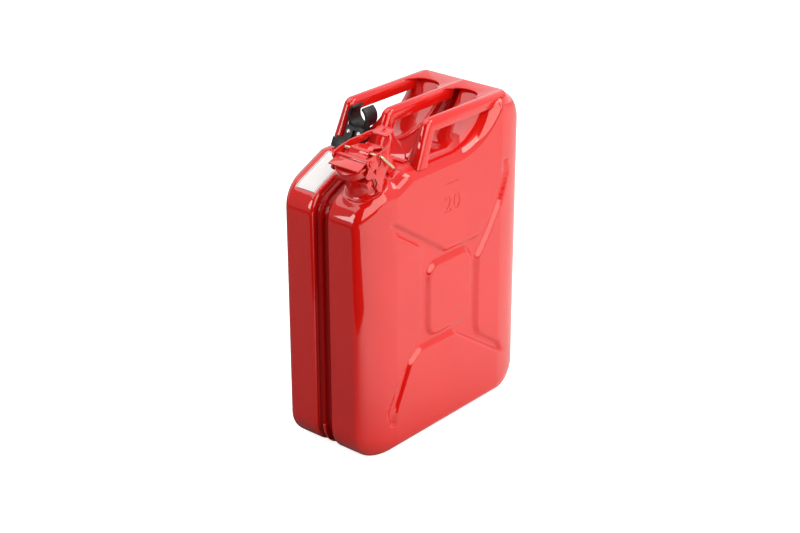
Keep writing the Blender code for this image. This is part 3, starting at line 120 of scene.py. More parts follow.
# Pressed pattern: half of its edge as shares of its reach and rise, about its own middle
PATTERN_X = 2 * MM
PATTERN_Z = 207 * MM
PATTERN_REACH = 141 * MM
PATTERN_RISE = 180 * MM
PRESS_DEPTH = 5.5 * MM
PRESS_RUN = 5.6 * MM
PRESS_EASE = 0.7 * MM
ISLAND_HALF_LENGTH = 43.5 * MM
ISLAND_HALF_HEIGHT = 51 * MM
ISLAND_RADIUS = 16 * MM
PRESS_CORNER_RADIUS = 9 * MM
PRESS_CORNER_STEPS = 8
PRESS_CORNER_SHARE = 0.45
PRESS_HALF_OUTLINE = [
    (-0.95, 0.84),
    (-0.8028, 0.7678),
    (-0.0589, 0.3778),
    (0.4262, 0.3711),
    (0.5709, 0.4444),
    (0.8014, 0.8189),
    (0.815, 0.92),
    (0.90, 0.91),
    (0.94, 0.77),
    (0.8014, 0.5611),
    (0.6241, 0.3444),
    (0.4433, 0.1683),
    (0.4397, -0.4161),
    (0.4794, -0.4833),
    (0.7872, -0.6444),
]

# Neck: its hole, and the pad round it that falls off to its foot
NECK_X = -129.5 * MM
NECK_Y = -43.8 * MM
NECK_BORE = 20.5 * MM
NECK_BORE_STEPS = 96
PAD_RADIUS = 30.5 * MM
PAD_FOOT = 37 * MM
PAD_DROP = 9 * MM
PAD_PROUD = 0.6 * MM
PAD_EASE = 4 * MM

# Plain white sheet stuck on the front slope, and where the thin line inside its edge starts and ends
SHEET_FRONT = -160 * MM
SHEET_REAR = -93 * MM
SHEET_INNER = 19.3 * MM
SHEET_OUTER = 55 * MM
SHEET_THICKNESS = 0.15 * MM
SHEET_LINE_START = 1.3 * MM
SHEET_LINE_END = 2.0 * MM
SHEET_LINE_BLUR = 0.2 * MM

# Number pressed into the right panel, and the line above it
NUMBER_TEXT = "20"
NUMBER_X = 2.5 * MM
NUMBER_Z = 339 * MM
NUMBER_HEIGHT = 33 * MM
NUMBER_DEPTH = 0.55 * MM
NUMBER_SPACING = 1.1
NUMBER_LINE_LENGTH = 26 * MM
NUMBER_LINE_HEIGHT = 1.6 * MM
NUMBER_LINE_RISE = 31 * MM

# Web that joins the spout clip's ring to its foot
CLIP_WEB_X = -53.2 * MM
CLIP_WEB_Y = 34.4 * MM
CLIP_WEB_Z = 441 * MM
CLIP_WEB_DEPTH = 7.4 * MM
CLIP_WEB_WIDTH = 32.8 * MM
CLIP_WEB_HEIGHT = 20 * MM
CLIP_RING_Z = 451 * MM
CLIP_WEB_BORE = 15.4 * MM
CLIP_WEB_BORE_STEPS = 72
CLIP_WEB_BEVEL = 0.8 * MM

# Stations round the outline: steps in each corner's arc, along the side that follows it, in all, and
# the four corners that are also those of the panel's grid
ARC_STEPS = (16, 16, 16, 8, 44, 10, 16)
SIDE_STEPS = (126, 230, 4, 4, 34, 22, 230)
STATIONS = sum(ARC_STEPS) + sum(SIDE_STEPS)
PANEL_GRID_CORNERS = (0, 1, 2, 6)

# Rings of a half tank: how many on each stretch, how far round its ellipse the rounding goes, and
# how deep under the recess the inner face lies
ROUNDING_RINGS = 28
ROUNDING_ANGLE = radians(74)
FACE_RINGS = 8
CHANNEL_ROUND_RINGS = 6
CHANNEL_FILLET_RINGS = 3
INSIDE_RINGS = 4
INNER_DROP = TANK_WALL * 1.5

# Edges of the finished pieces, and the angles up to which their faces are shaded smooth
BEVEL = 0.5 * MM
PIVOT_PIN_BEVEL = 0.4 * MM
FASTENER_BEVEL = 0.3 * MM
BEVEL_SEGMENTS = 2
MERGE_DISTANCE = 0.01 * MM
FLAT_ANGLE = radians(0.5)
BEVEL_ANGLE = radians(40)
SMOOTH_MADE = radians(40)
SMOOTH_WELD = radians(60)
SMOOTH_PACKED = radians(32)

# Colours of the finishes: the two tones that each one's noise mixes, the weld's partly painted highlight
# among them, and those of the painted shade in the channel and of the paper's line
ENAMEL_TONES = ((0.74, 0.009, 0.006), (0.70, 0.008, 0.006))
CHANNEL_SHADE_TONE = (0.42, 0.003, 0.003)
WELD_SPATTER_AND_HIGHLIGHT_TONES = ((0.60, 0.008, 0.006), (0.88, 0.030, 0.020))
PLASTIC_TONES = ((0.011, 0.011, 0.012), (0.028, 0.028, 0.03))
ZINC_TONES = ((0.7, 0.71, 0.72), (0.5, 0.51, 0.53))
YELLOW_ZINC_TONES = ((0.78, 0.72, 0.52), (0.6, 0.52, 0.34))
RUBBER_TONES = ((0.016, 0.016, 0.016), (0.04, 0.039, 0.037))
PAPER_TONES = ((0.93, 0.93, 0.92), (0.88, 0.88, 0.87))
PAPER_LINE_TONE = (0.10, 0.09, 0.09)
BLACK = (0, 0, 0)
WHITE = (1, 1, 1)

# Share of their noise at which the second tone starts, and at which it is all
CLOUD_SPAN = (0.3, 0.7)
SPATTER_SPAN = (0.35, 0.65)
SCUFF_SPAN = (0.6, 0.8)
FILM_SPAN = (0.3, 0.7)
DUST_SPAN = (0.4, 0.8)

# Roughness where their noise is 0, and what the noise adds to it
ENAMEL_ROUGHNESS = 0.30
ENAMEL_ROUGHNESS_CLOUD = 0.08
WELD_ROUGHNESS = 0.3
WELD_ROUGHNESS_SPATTER = 0.2
PLASTIC_ROUGHNESS = 0.36
PLASTIC_ROUGHNESS_GRAIN = 0.14
PLASTIC_ROUGHNESS_SCUFF = 0.1
ZINC_ROUGHNESS = 0.2
ZINC_ROUGHNESS_FILM = 0.25
RUBBER_ROUGHNESS = 0.66
RUBBER_ROUGHNESS_DUST = 0.2
PAPER_ROUGHNESS = 0.35
PAPER_ROUGHNESS_FIBRE = 0.1

# Clear coat of the enamel, how much of it is cut deep in the channel for the painted shade there, and
# its slow waves
COAT_ROUGHNESS = 0.03
COAT_IOR = 1.75
CHANNEL_SHADE_COAT_CUT = 0.8
WELD_COAT_ROUGHNESS = 0.06
WAVE_SHARE = 3.0

# Scales of their noise, in waves per metre
CLOUD_SCALE = 9
WAVE_SCALE = 45
PEEL_SCALE = 420
SPATTER_SCALE = 520
GRAIN_SCALE = 900
SCUFF_SCALE = 60
FILM_SCALE = 260
PIT_SCALE = 700
DUST_SCALE = 180
FIBRE_SCALE = 300

# Heights of their relief
PEEL_RELIEF = 0.03 * MM
SPATTER_RELIEF = 0.5 * MM
GRAIN_RELIEF = 0.08 * MM
PIT_RELIEF = 0.04 * MM
DUST_RELIEF = 0.06 * MM

# Camera: lens in pixels and in millimetres of film, direction, what it looks at, and what it sees
SENSOR_WIDTH = 36
CLIP_START = 0.05
CLIP_END = 50
IMAGE_WIDTH = 800
FOCAL_PIXELS = 1764.31
CAMERA_AZIMUTH = -0.85954
CAMERA_ELEVATION = 0.42279
CAMERA_ROLL = -0.00194
CAMERA_ACROSS = 6.41 * MM
CAMERA_UP = 12.08 * MM
CAMERA_DISTANCE = 2477.2 * MM
CAMERA_TARGET = Vector((0, 0, 235 * MM))
CAMERA_RIGHT = Vector((cos(CAMERA_AZIMUTH), sin(CAMERA_AZIMUTH), 0))
CAMERA_BACK = Vector((
    sin(CAMERA_AZIMUTH) * cos(CAMERA_ELEVATION),
    -cos(CAMERA_AZIMUTH) * cos(CAMERA_ELEVATION),
    sin(CAMERA_ELEVATION),
))

# World, as other rays than the camera's see it: the levels that are added up, and between which
# shares of a direction each comes in
WORLD_LEVEL = 0.25
WORLD_RIGHT_LEVEL = 0.45
WORLD_AHEAD_LEVEL = 0.45
WORLD_RIGHT_SPAN = (-0.9, 0.9)
WORLD_AHEAD_SPAN = (0.15, 0.7)
WORLD_BEHIND_SPAN = (0.35, 0.75)

# Floor: white to the camera, and the levels of painted light and shade that other rays see. The spans
# are metres from the can, to the camera's right and toward the camera, between which each level changes
FLOOR_SIZE = 8
FLOOR_DROP = 0.2 * MM
FLOOR_TONE = 0.92
FLOOR_GLOW = 0.8
FLOOR_LEFT_LEVEL = 0.19
FLOOR_RIGHT_LEVEL = 0.73
FLOOR_RIGHT_SPAN = (-0.15, 0.2)
FLOOR_STRIP_SPAN = (0.5, 0.54)
FLOOR_STRIP_END_SPAN = (0.2, 0.26)

# Lamps: name, place, size, watts, colour and the point that each is turned to
LAMP_TARGET = (0, 0, 0.25)
LAMPS = (
    ("side_softbox", (-0.5, -2.05, 1.5), (2.4, 2.2), 48, (1.0, 0.91, 0.82), LAMP_TARGET),
    ("paper_softbox", (0.65, -0.85, 1.7), (0.8, 0.8), 9, (1.0, 0.93, 0.85), (0.6, -0.75, 0)),
    ("top_softbox", (-0.3, 0.75, 2.2), (2.2, 2.2), 21, WHITE, LAMP_TARGET),
    ("left_softbox", (-1.6, 0.7, 0.95), (0.8, 0.8), 9, WHITE, LAMP_TARGET),
)


def unit(x, y):
    """The vector (x, y) at length one."""
    size = hypot(x, y)
    return x / size, y / size


def sides_at(corners, i):
    """Directions of the side before corner i of a closed outline, and of the side after it."""
    x0, z0, x1, z1, x2, z2 = [size for k in (i - 1, i, i + 1) for size in corners[k % len(corners)][:2]]
    return unit(x1 - x0, z1 - z0), unit(x2 - x1, z2 - z1)


def turned(corners):
    """Adds to each corner whether the outline turns outward or inward there, as 1 or -1."""
    found = []
    for i, (x, z, radius) in enumerate(corners):
        (ax, az), (bx, bz) = sides_at(corners, i)
        found.append((x, z, radius, 1 if ax * bz > az * bx else -1))
    return found


def offset_corners(corners, inset):
    """Moves each side of an outline inward by inset and keeps the centre of every corner arc."""
    moved = []
    for i, (x, z, radius, turn) in enumerate(corners):
        (ax, az), (bx, bz) = sides_at(corners, i)
        share = inset / (1 + ax * bx + az * bz)
        kept = max(radius - turn * inset, 0)
        moved.append((x + share * (-az - bz), z + share * (ax + bx), kept, turn))
    return moved


def dense_outline(corners, arcs, sides):
    """Points of an outline, with arcs[i] steps in corner i and sides[i] steps on the side after it."""
    rows = []
    for i, (x, z, radius, turn) in enumerate(corners):
        (ax, az), (bx, bz) = sides_at(corners, i)
        bend = atan2(abs(ax * bz - az * bx), ax * bx + az * bz)
        reach = radius * tan(bend / 2)
        cx = x - ax * reach - az * radius * turn
        cz = z - az * reach + ax * radius * turn
        start = atan2(z - az * reach - cz, x - ax * reach - cx)
        angles = [start + turn * bend * k / arcs[i] for k in range(arcs[i] + 1)]
        rows.append([(cx + radius * cos(angle), cz + radius * sin(angle)) for angle in angles])
    points = []
    for i, row in enumerate(rows):
        points += row
        (x0, z0), (x1, z1) = row[-1], rows[(i + 1) % len(rows)][0]
        count = sides[i]
        points += [(x0 + (x1 - x0) * k / count, z0 + (z1 - z0) * k / count) for k in range(1, count)]
    return np.array(points)


def slope_height(x):
    """Height of the sloping front of the top, on which the neck stands."""
    return FRONT_TOP_HEIGHT + SLOPE_RISE * (x + TANK_LENGTH / 2)


CREST_HEIGHT = slope_height(CREST_X)

TANK_CORNERS = turned([
    (-TANK_LENGTH / 2, 0, BASE_RADIUS),
    (TANK_LENGTH / 2, 0, BASE_RADIUS),
    (TANK_LENGTH / 2, HUMP_HEIGHT, REAR_TOP_RADIUS),
    (HUMP_FRONT_X, HUMP_HEIGHT, HUMP_FRONT_RADIUS),
    (VALLEY_X, CREST_HEIGHT, VALLEY_RADIUS),
    (CREST_X, CREST_HEIGHT, CREST_RADIUS),
    (-TANK_LENGTH / 2, FRONT_TOP_HEIGHT, FRONT_TOP_RADIUS),
])

PANEL_CORNERS = turned([
    (-PANEL_HALF_LENGTH, PANEL_BOTTOM, PANEL_CORNER_RADIUS),
    (PANEL_HALF_LENGTH, PANEL_BOTTOM, PANEL_CORNER_RADIUS),
    (PANEL_HALF_LENGTH, PANEL_TOP, 0),
    (PANEL_HALF_LENGTH - PANEL_CORNER_RADIUS / 4, PANEL_TOP - PANEL_STEP_DROP, 0),
    (PANEL_VALLEY_X, CREST_HEIGHT - PANEL_VALLEY_DROP, PANEL_VALLEY_RADIUS),
    (PANEL_CREST_X, CREST_HEIGHT - PANEL_VALLEY_DROP, PANEL_CORNER_RADIUS),
    (-PANEL_HALF_LENGTH, FRONT_TOP_HEIGHT + PANEL_FRONT_TOP_RISE, PANEL_CORNER_RADIUS),
])


def feed(tree, slot, value):
    """Links a socket to a node's input, or sets the input to a constant."""
    if isinstance(value, Value):
        tree.links.new(value.socket, slot)
    elif isinstance(value, bpy.types.NodeSocket):
        tree.links.new(value, slot)
    elif isinstance(value, tuple) and slot.type == "RGBA":
        slot.default_value = (*value, 1)
    else:
        slot.default_value = value


class Value:
    """A number that varies over a surface. Maths on it adds Math nodes."""

    def __init__(self, tree, socket):
        self.tree = tree
        self.socket = socket

    def maths(self, operation, other=None, turned_round=False):
        """Adds one Math node, with this value as its first input, or as its second if turned round."""
        node = self.tree.nodes.new("ShaderNodeMath")
        node.operation = operation
        values = [other, self] if turned_round else [self, other]
        for slot, value in zip(node.inputs, values):
            if value is not None:
                feed(self.tree, slot, value)
        return Value(self.tree, node.outputs["Value"])

    def __add__(self, other):
        return self.maths("ADD", other)

    __radd__ = __add__

    def __mul__(self, other):
        return self.maths("MULTIPLY", other)

    __rmul__ = __mul__

    def __sub__(self, other):
        return self.maths("SUBTRACT", other)

    def __rsub__(self, other):
        return self.maths("SUBTRACT", other, turned_round=True)

    def least(self, other):
        """The smaller of the two."""
        return self.maths("MINIMUM", other)

    def between(self, low, high):
        """0 below low, 1 above high, and a soft step between them."""
        node = self.tree.nodes.new("ShaderNodeMapRange")
        node.interpolation_type = "SMOOTHSTEP"
        self.tree.links.new(self.socket, node.inputs["Value"])
        node.inputs["From Min"].default_value = low
        node.inputs["From Max"].default_value = high
        return Value(self.tree, node.outputs["Result"])


class Shade:
    """Nodes of one tree, each added with its sockets fed."""

    def __init__(self, tree):
        self.tree = tree

    def node(self, kind, **sockets):
        """A new node, with a blank of a socket's name written as an underscore."""
        node = self.tree.nodes.new(kind)
        for name, value in sockets.items():
            feed(self.tree, node.inputs[name.replace("_", " ")], value)
        return node

    def toward(self, vector, direction):
        """How far a vector points in a direction, by a dot product."""
        node = self.tree.nodes.new("ShaderNodeVectorMath")
        node.operation = "DOT_PRODUCT"
        feed(self.tree, node.inputs[0], vector)
        feed(self.tree, node.inputs[1], direction)
        return Value(self.tree, node.outputs["Value"])

    def seen(self):
        """1 where the camera looks, and 0 for every other ray."""
        return Value(self.tree, self.node("ShaderNodeLightPath").outputs["Is Camera Ray"])


class Finish(Shade):
    """A material on a Principled BSDF, built node by node."""

    def __init__(self, name, **sockets):
        self.material = bpy.data.materials.new(name)
        self.material.use_nodes = True
        super().__init__(self.material.node_tree)
        self.shader = self.tree.nodes["Principled BSDF"]
        self.set(**sockets)
        self.place = self.node("ShaderNodeTexCoord").outputs["Object"]

    def set(self, **sockets):
        """Feeds sockets of the material's shader."""
        for name, value in sockets.items():
            feed(self.tree, self.shader.inputs[name.replace("_", " ")], value)

    def noise(self, scale, detail=2.0, roughness=0.5):
        """Noise over the object, between 0 and 1."""
        node = self.node(
            "ShaderNodeTexNoise", Vector=self.place, Scale=scale, Detail=detail, Roughness=roughness
        )
        return Value(self.tree, node.outputs["Fac"])

    def axis(self, name):
        """The object's own X, Y or Z, in metres."""
        return Value(self.tree, self.node("ShaderNodeSeparateXYZ", Vector=self.place).outputs[name])

    def mixed(self, share, first, second):
        """The first colour where the share is 0, the second where it is 1."""
        node = self.tree.nodes.new("ShaderNodeMix")
        node.data_type = "RGBA"
        feed(self.tree, node.inputs["Factor"], share)
        first_slot, second_slot = [slot for slot in node.inputs if slot.type == "RGBA"]
        feed(self.tree, first_slot, first)
        feed(self.tree, second_slot, second)
        return next(slot for slot in node.outputs if slot.type == "RGBA")

    def bump(self, height, distance):
        """A normal that is raised by a height of 0 to 1, times a distance."""
        return self.node("ShaderNodeBump", Height=height, Distance=distance).outputs["Normal"]


def red_enamel(name, channel=False):
    """Glossy stove enamel with faint orange peel, and painted shade deep in the seam channel: darker
    colour and less clear coat there.
    """
    paint = Finish(
        name,
        Specular_IOR_Level=0.03,
        Coat_Weight=1.0,
        Coat_Roughness=COAT_ROUGHNESS,
        Coat_IOR=COAT_IOR,
    )
    cloud = paint.noise(CLOUD_SCALE, detail=3.0).between(*CLOUD_SPAN)
    coat = paint.mixed(cloud, *ENAMEL_TONES)
    if channel:
        # Painted shade: deep in the seam channel the colour is darkened and the clear coat cut, where
        # light hardly reaches.
        channel_edge = CHANNEL_HALF_WIDTH + CHANNEL_EDGE / 2
        deep = 1 - paint.axis("Y").maths("ABSOLUTE").between(CHANNEL_HALF_WIDTH, channel_edge)
        coat = paint.mixed(deep, coat, CHANNEL_SHADE_TONE)
        paint.set(Coat_Weight=1 - CHANNEL_SHADE_COAT_CUT * deep)
    peel = paint.noise(PEEL_SCALE)
    wave = paint.noise(WAVE_SCALE, detail=1.0)
    paint.set(
        Base_Color=coat,
        Roughness=ENAMEL_ROUGHNESS + ENAMEL_ROUGHNESS_CLOUD * cloud,
        Normal=paint.bump(peel + wave * WAVE_SHARE, PEEL_RELIEF),
    )
    return paint.material


def weld_enamel():
    """The same enamel over a rough weld bead, its spatter spots partly random tone and partly painted
    highlight, brighter than the enamel.
    """
    paint = Finish("weld_enamel", Coat_Weight=1.0, Coat_Roughness=WELD_COAT_ROUGHNESS)
    spatter = paint.noise(SPATTER_SCALE, detail=4.0, roughness=0.7)
    paint.set(
        # Spatter tones: partly random tone, partly painted highlight that brightens the bead and its
        # spots.
        Base_Color=paint.mixed(spatter.between(*SPATTER_SPAN), *WELD_SPATTER_AND_HIGHLIGHT_TONES),
        Roughness=WELD_ROUGHNESS + WELD_ROUGHNESS_SPATTER * spatter,
        Normal=paint.bump(spatter, SPATTER_RELIEF),
    )
    return paint.material


def black_plastic():
    """Moulded black plastic with a fine satin grain and a few paler scuffs."""
    plastic = Finish("black_plastic", Specular_IOR_Level=0.5)
    grain = plastic.noise(GRAIN_SCALE, detail=3.0)
    scuff = plastic.noise(SCUFF_SCALE, detail=5.0, roughness=0.7).between(*SCUFF_SPAN)
    rough = PLASTIC_ROUGHNESS + PLASTIC_ROUGHNESS_GRAIN * grain + PLASTIC_ROUGHNESS_SCUFF * scuff
    plastic.set(
        Base_Color=plastic.mixed(scuff, *PLASTIC_TONES),
        Roughness=rough,
        Normal=plastic.bump(grain, GRAIN_RELIEF),
    )
    return plastic.material


def zinc_plate(name, tones):
    """Electroplated zinc: bright metal with a mottled, slightly dull film."""
    metal = Finish(name, Metallic=1.0)
    film = metal.noise(FILM_SCALE, detail=4.0, roughness=0.6)
    metal.set(
        Base_Color=metal.mixed(film.between(*FILM_SPAN), *tones),
        Roughness=ZINC_ROUGHNESS + ZINC_ROUGHNESS_FILM * film,
        Normal=metal.bump(metal.noise(PIT_SCALE), PIT_RELIEF),
    )
    return metal.material


def seal_rubber():
    """Black nitrile rubber with a dull, faintly dusty face."""
    rubber = Finish("seal_rubber")
    dust = rubber.noise(DUST_SCALE, detail=4.0)
    rubber.set(
        Base_Color=rubber.mixed(dust.between(*DUST_SPAN), *RUBBER_TONES),
        Roughness=RUBBER_ROUGHNESS + RUBBER_ROUGHNESS_DUST * dust,
        Normal=rubber.bump(dust, DUST_RELIEF),
    )
    return rubber.material


def blank_paper():
    """Plain coated paper with one thin line round its edge and nothing else on it."""
    paper = Finish("blank_paper", Specular_IOR_Level=0.4)
    fibre = paper.noise(FIBRE_SCALE, detail=3.0)
    x, y = paper.axis("X"), paper.axis("Y")
    edge = (x - SHEET_FRONT).least(SHEET_REAR - x).least(y - SHEET_INNER).least(SHEET_OUTER - y)
    within_start = edge.between(SHEET_LINE_START, SHEET_LINE_START + SHEET_LINE_BLUR)
    within_end = edge.between(SHEET_LINE_END, SHEET_LINE_END + SHEET_LINE_BLUR)
    plain = paper.mixed(fibre, *PAPER_TONES)
    paper.set(
        Base_Color=paper.mixed(within_start - within_end, plain, PAPER_LINE_TONE),
        Roughness=PAPER_ROUGHNESS + PAPER_ROUGHNESS_FIBRE * fibre,
    )
    return paper.material


def deselect():
    """Leaves no object selected."""
    for obj in bpy.context.selected_objects:
        obj.select_set(False)


def only(obj):
    """Makes one object active and selected alone."""
    deselect()
    obj.select_set(True)
    bpy.context.view_layer.objects.active = obj


def edit(obj):
    """Opens one object's mesh for editing."""
    only(obj)
    bpy.ops.object.mode_set(mode="EDIT")
    return bmesh.from_edit_mesh(obj.data)


def leave():
    """Goes back to object mode."""
    bpy.ops.object.mode_set(mode="OBJECT")


def added(operator, name, **settings):
    """The object that an operator adds, under its name."""
    deselect()
    operator(**settings)
    obj = bpy.context.object
    obj.name = name
    return obj


def mesh_points(obj):
    """Every vertex of a mesh, as rows (x, y, z)."""
    points = np.empty(len(obj.data.vertices) * 3, np.float32)
    obj.data.vertices.foreach_get("co", points)
    return points.reshape(-1, 3).astype(float)


def set_points(obj, points):
    """Moves every vertex of a mesh to its own row (x, y, z)."""
    obj.data.vertices.foreach_set("co", points.astype(np.float32).ravel())
    obj.data.update()


def face_out(obj):
    """Turns all faces of a closed mesh outward."""
    edit(obj)
    bpy.ops.mesh.select_all(action="SELECT")
    bpy.ops.mesh.normals_make_consistent(inside=False)
    leave()


def cut_away(obj, cutter, solver="FAST"):
    """Cuts one object out of another, then removes it."""
    only(obj)
    cut = obj.modifiers.new("cut", "BOOLEAN")
    cut.operation = "DIFFERENCE"
    cut.solver = solver
    cut.object = cutter
    bpy.ops.object.modifier_apply(modifier=cut.name)
    bpy.data.objects.remove(cutter, do_unlink=True)


def break_edges(obj, width):
    """Bevels every sharp edge."""
    only(obj)
    edge = obj.modifiers.new("broken_edges", "BEVEL")
    edge.width = width
    edge.segments = BEVEL_SEGMENTS
    edge.limit_method = "ANGLE"
    edge.angle_limit = BEVEL_ANGLE
    bpy.ops.object.modifier_apply(modifier=edge.name)


def settle(obj, material, body, smooth=SMOOTH_MADE, replaces=()):
    """Gives a piece its place, shading, finish and body. The sheet has no slot in the record."""
    only(obj)
    bpy.ops.object.transform_apply(location=True, rotation=True, scale=True)
    obj.data.name = obj.name
    obj.data.materials.clear()
    obj.data.materials.append(material)
    bpy.ops.object.shade_smooth_by_angle(angle=smooth)
    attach(obj, body)
    if replaces:
        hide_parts(*replaces)


def smooth_max(a, b, ease):
    """The larger of two arrays, rounded over where they cross."""
    gap = np.clip(0.5 + 0.5 * (a - b) / ease, 0, 1)
    return b + (a - b) * gap + ease * gap * (1 - gap)


def soft_step(value, width):
    """0 below value 0, 1 above width, and a soft step between them."""
    t = np.clip(value / width, 0, 1)
    return t * t * (3 - 2 * t)


def soft_ramp(value, width, ease):
    """A straight ramp from 0 at value 0 to 1 at width, with both its ends rounded over ease."""

    def rising(v):
        return np.where(v < -ease, 0, np.where(v > ease, v, (v + ease) ** 2 / (4 * ease)))

    return (rising(value) - rising(value - width)) / width


def eased_outline(points, radius):
    """A closed outline with each corner rounded, less where its sides are short."""
    corners = []
    for i, (x, z) in enumerate(points):
        before, after = points[i - 1], points[(i + 1) % len(points)]
        (ax, az), (bx, bz) = sides_at(points, i)
        bend = atan2(abs(ax * bz - az * bx), ax * bx + az * bz)
        side = min(hypot(x - before[0], z - before[1]), hypot(after[0] - x, after[1] - z))
        corners.append((x, z, min(radius, PRESS_CORNER_SHARE * side / tan(bend / 2))))
    count = len(corners)
    return dense_outline(turned(corners), [PRESS_CORNER_STEPS] * count, [1] * count)


def depth_inside(points, outline):
    """Distance of each point from a closed outline, positive inside it."""
    nearest = np.full(len(points), 1.0)
    inside = np.zeros(len(points), bool)
    for start, end in zip(outline, np.roll(outline, -1, axis=0)):
        along = end - start
        length = along @ along
        if length < SHORTEST_SIDE ** 2:
            continue
        share = np.clip(((points - start) @ along) / length, 0, 1)
        nearest = np.minimum(nearest, np.hypot(*(points - start - share[:, None] * along).T))
        crosses = (start[1] > points[:, 1]) != (end[1] > points[:, 1])
        with np.errstate(divide="ignore", invalid="ignore"):
            x = start[0] + (points[:, 1] - start[1]) * along[0] / along[1]
        inside ^= crosses & (points[:, 0] < x)
    return np.where(inside, nearest, -nearest)


def pressed_in(points):
    """How deep the pattern is pressed at each (x, z): 0 on the panel, 1 on the floor of the recess."""
    about = points - np.array([PATTERN_X, PATTERN_Z])
    half = [(x * PATTERN_REACH, z * PATTERN_RISE) for x, z in PRESS_HALF_OUTLINE]
    edge = eased_outline(half + [(-x, -z) for x, z in half], PRESS_CORNER_RADIUS)
    a, b = ISLAND_HALF_LENGTH, ISLAND_HALF_HEIGHT
    island_edge = eased_outline([(-a, -b), (a, -b), (a, b), (-a, b)], ISLAND_RADIUS)
    pattern = soft_ramp(depth_inside(about, edge), PRESS_RUN, PRESS_EASE)
    island = soft_ramp(depth_inside(about, island_edge) + PRESS_RUN, PRESS_RUN, PRESS_EASE)
    return pattern * (1 - island)


def with_pattern(points):
    """Presses the pattern into the outer face of a half tank's points."""
    outer = points[:, 1] > TANK_SIDE_Y - PRESS_DEPTH - TANK_WALL
    press = np.zeros(len(points))
    press[outer] = pressed_in(points[outer][:, [0, 2]])
    lowered = -smooth_max(-points[:, 1], PRESS_DEPTH * press - TANK_SIDE_Y, PRESS_EASE)
    points[:, 1] = np.where(press > 0, lowered, points[:, 1])
    return points


def neck_matrix():
    """The neck's own frame: X up the slope, Y across the can, Z out along the neck."""
    place = Matrix.Translation((NECK_X, NECK_Y, slope_height(NECK_X)))
    return place @ Matrix.Rotation(-atan(SLOPE_RISE), 4, "Y")


def with_pad(points):
    """Raises the pad round the neck from points on the right half of the tank."""
    neck = np.array(neck_matrix())
    local = (points - neck[:3, 3]) @ neck[:3, :3]
    out = np.hypot(local[:, 0], local[:, 1])
    target = PAD_PROUD - np.maximum(out - PAD_RADIUS, 0) * PAD_DROP / (PAD_FOOT - PAD_RADIUS)
    raised = smooth_max(local[:, 2], target, PAD_EASE)
    clear = soft_step(-points[:, 1] - CHANNEL_HALF_WIDTH - CHANNEL_EDGE / 2, CHANNEL_EDGE)
    fading = 1 - soft_step(out - PAD_RADIUS, PAD_FOOT / 2)
    lift = np.where(local[:, 2] > -PAD_DROP * 2, raised - local[:, 2], 0) * clear * fading
    return points + lift[:, None] * neck[:3, 2]


def tank_outline(inset=0.0):
    """The tank's outline moved inward, with one (x, z) for each station."""
    return dense_outline(offset_corners(TANK_CORNERS, inset), ARC_STEPS, SIDE_STEPS)


def panel_outline():
    """The flat panel's edge, with one (x, z) for each station."""
    return dense_outline(PANEL_CORNERS, ARC_STEPS, SIDE_STEPS)


def at_side(flat, y):
    """Points (x, z) as rows (x, y, z) at one y."""
    return np.column_stack([flat[:, 0], np.full(len(flat), y), flat[:, 1]])


def tank_ring(inset, y):
    """One ring of the tank's outline, moved inward, at one y."""
    return at_side(tank_outline(inset), y)


def rounding_ring(share, inset=0.0, top=TANK_SIDE_Y):
    """One ring of the rounding, as part of an ellipse: share 0 at the narrow face, 1 at the crease."""
    angle = share * ROUNDING_ANGLE
    panel = panel_outline()
    whole = 1 - cos(ROUNDING_ANGLE)
    flat = panel + (tank_outline(inset) - panel) * (cos(angle) - cos(ROUNDING_ANGLE)) / whole
    y = FLAT_HALF_WIDTH + (top - FLAT_HALF_WIDTH) * sin(angle) / sin(ROUNDING_ANGLE)
    return at_side(flat, y)


def shell_rings():
    """Rings of a half tank from the panel's edge on: rounding, narrow face, channel, lip, inside."""
    rings = [rounding_ring(1 - k / ROUNDING_RINGS) for k in range(1, ROUNDING_RINGS + 1)]
    edge = CHANNEL_HALF_WIDTH + CHANNEL_EDGE
    for k in range(1, FACE_RINGS + 1):
        rings.append(tank_ring(0, FLAT_HALF_WIDTH + (edge - FLAT_HALF_WIDTH) * k / FACE_RINGS))
    for k in range(1, CHANNEL_ROUND_RINGS + 1):
        angle = k / CHANNEL_ROUND_RINGS * pi / 2
        rings.append(tank_ring(CHANNEL_ROUND * (1 - cos(angle)), edge - CHANNEL_ROUND * sin(angle)))
    for k in range(CHANNEL_FILLET_RINGS + 1):
        angle = k / CHANNEL_FILLET_RINGS * pi / 2
        rings.append(tank_ring(
            CHANNEL_DEPTH - CHANNEL_FILLET * (1 - sin(angle)),
            CHANNEL_HALF_WIDTH + CHANNEL_FILLET * (cos(angle) - 1),
        ))
    lip = SEAM_GAP / 2 + SEAM_LIP
    round_lip = SEAM_LIP / 3
    for inset, y in (
        (CHANNEL_DEPTH, lip + CHANNEL_FILLET / 2),
        (CHANNEL_DEPTH - CHANNEL_FILLET / 4, lip + CHANNEL_FILLET / 8),
        (CHANNEL_DEPTH - CHANNEL_FILLET / 2, lip),
        (SEAM_INSET + round_lip, lip),
        (SEAM_INSET, lip - round_lip),
        (SEAM_INSET, SEAM_GAP / 2),
        (CHANNEL_DEPTH + TANK_WALL, SEAM_GAP / 2),
        (CHANNEL_DEPTH + TANK_WALL, CHANNEL_HALF_WIDTH + TANK_WALL),
        (TANK_WALL, edge + TANK_WALL),
        (TANK_WALL, FLAT_HALF_WIDTH),
    ):
        rings.append(tank_ring(inset, y))
    inner_face = TANK_SIDE_Y - PRESS_DEPTH - INNER_DROP
    for k in range(1, INSIDE_RINGS + 1):
        rings.append(rounding_ring(k / INSIDE_RINGS, TANK_WALL, inner_face))
    return rings


def corner_station(i):
    """The station in the middle of one corner's arc."""
    return sum(ARC_STEPS[:i]) + sum(SIDE_STEPS[:i]) + ARC_STEPS[i] // 2


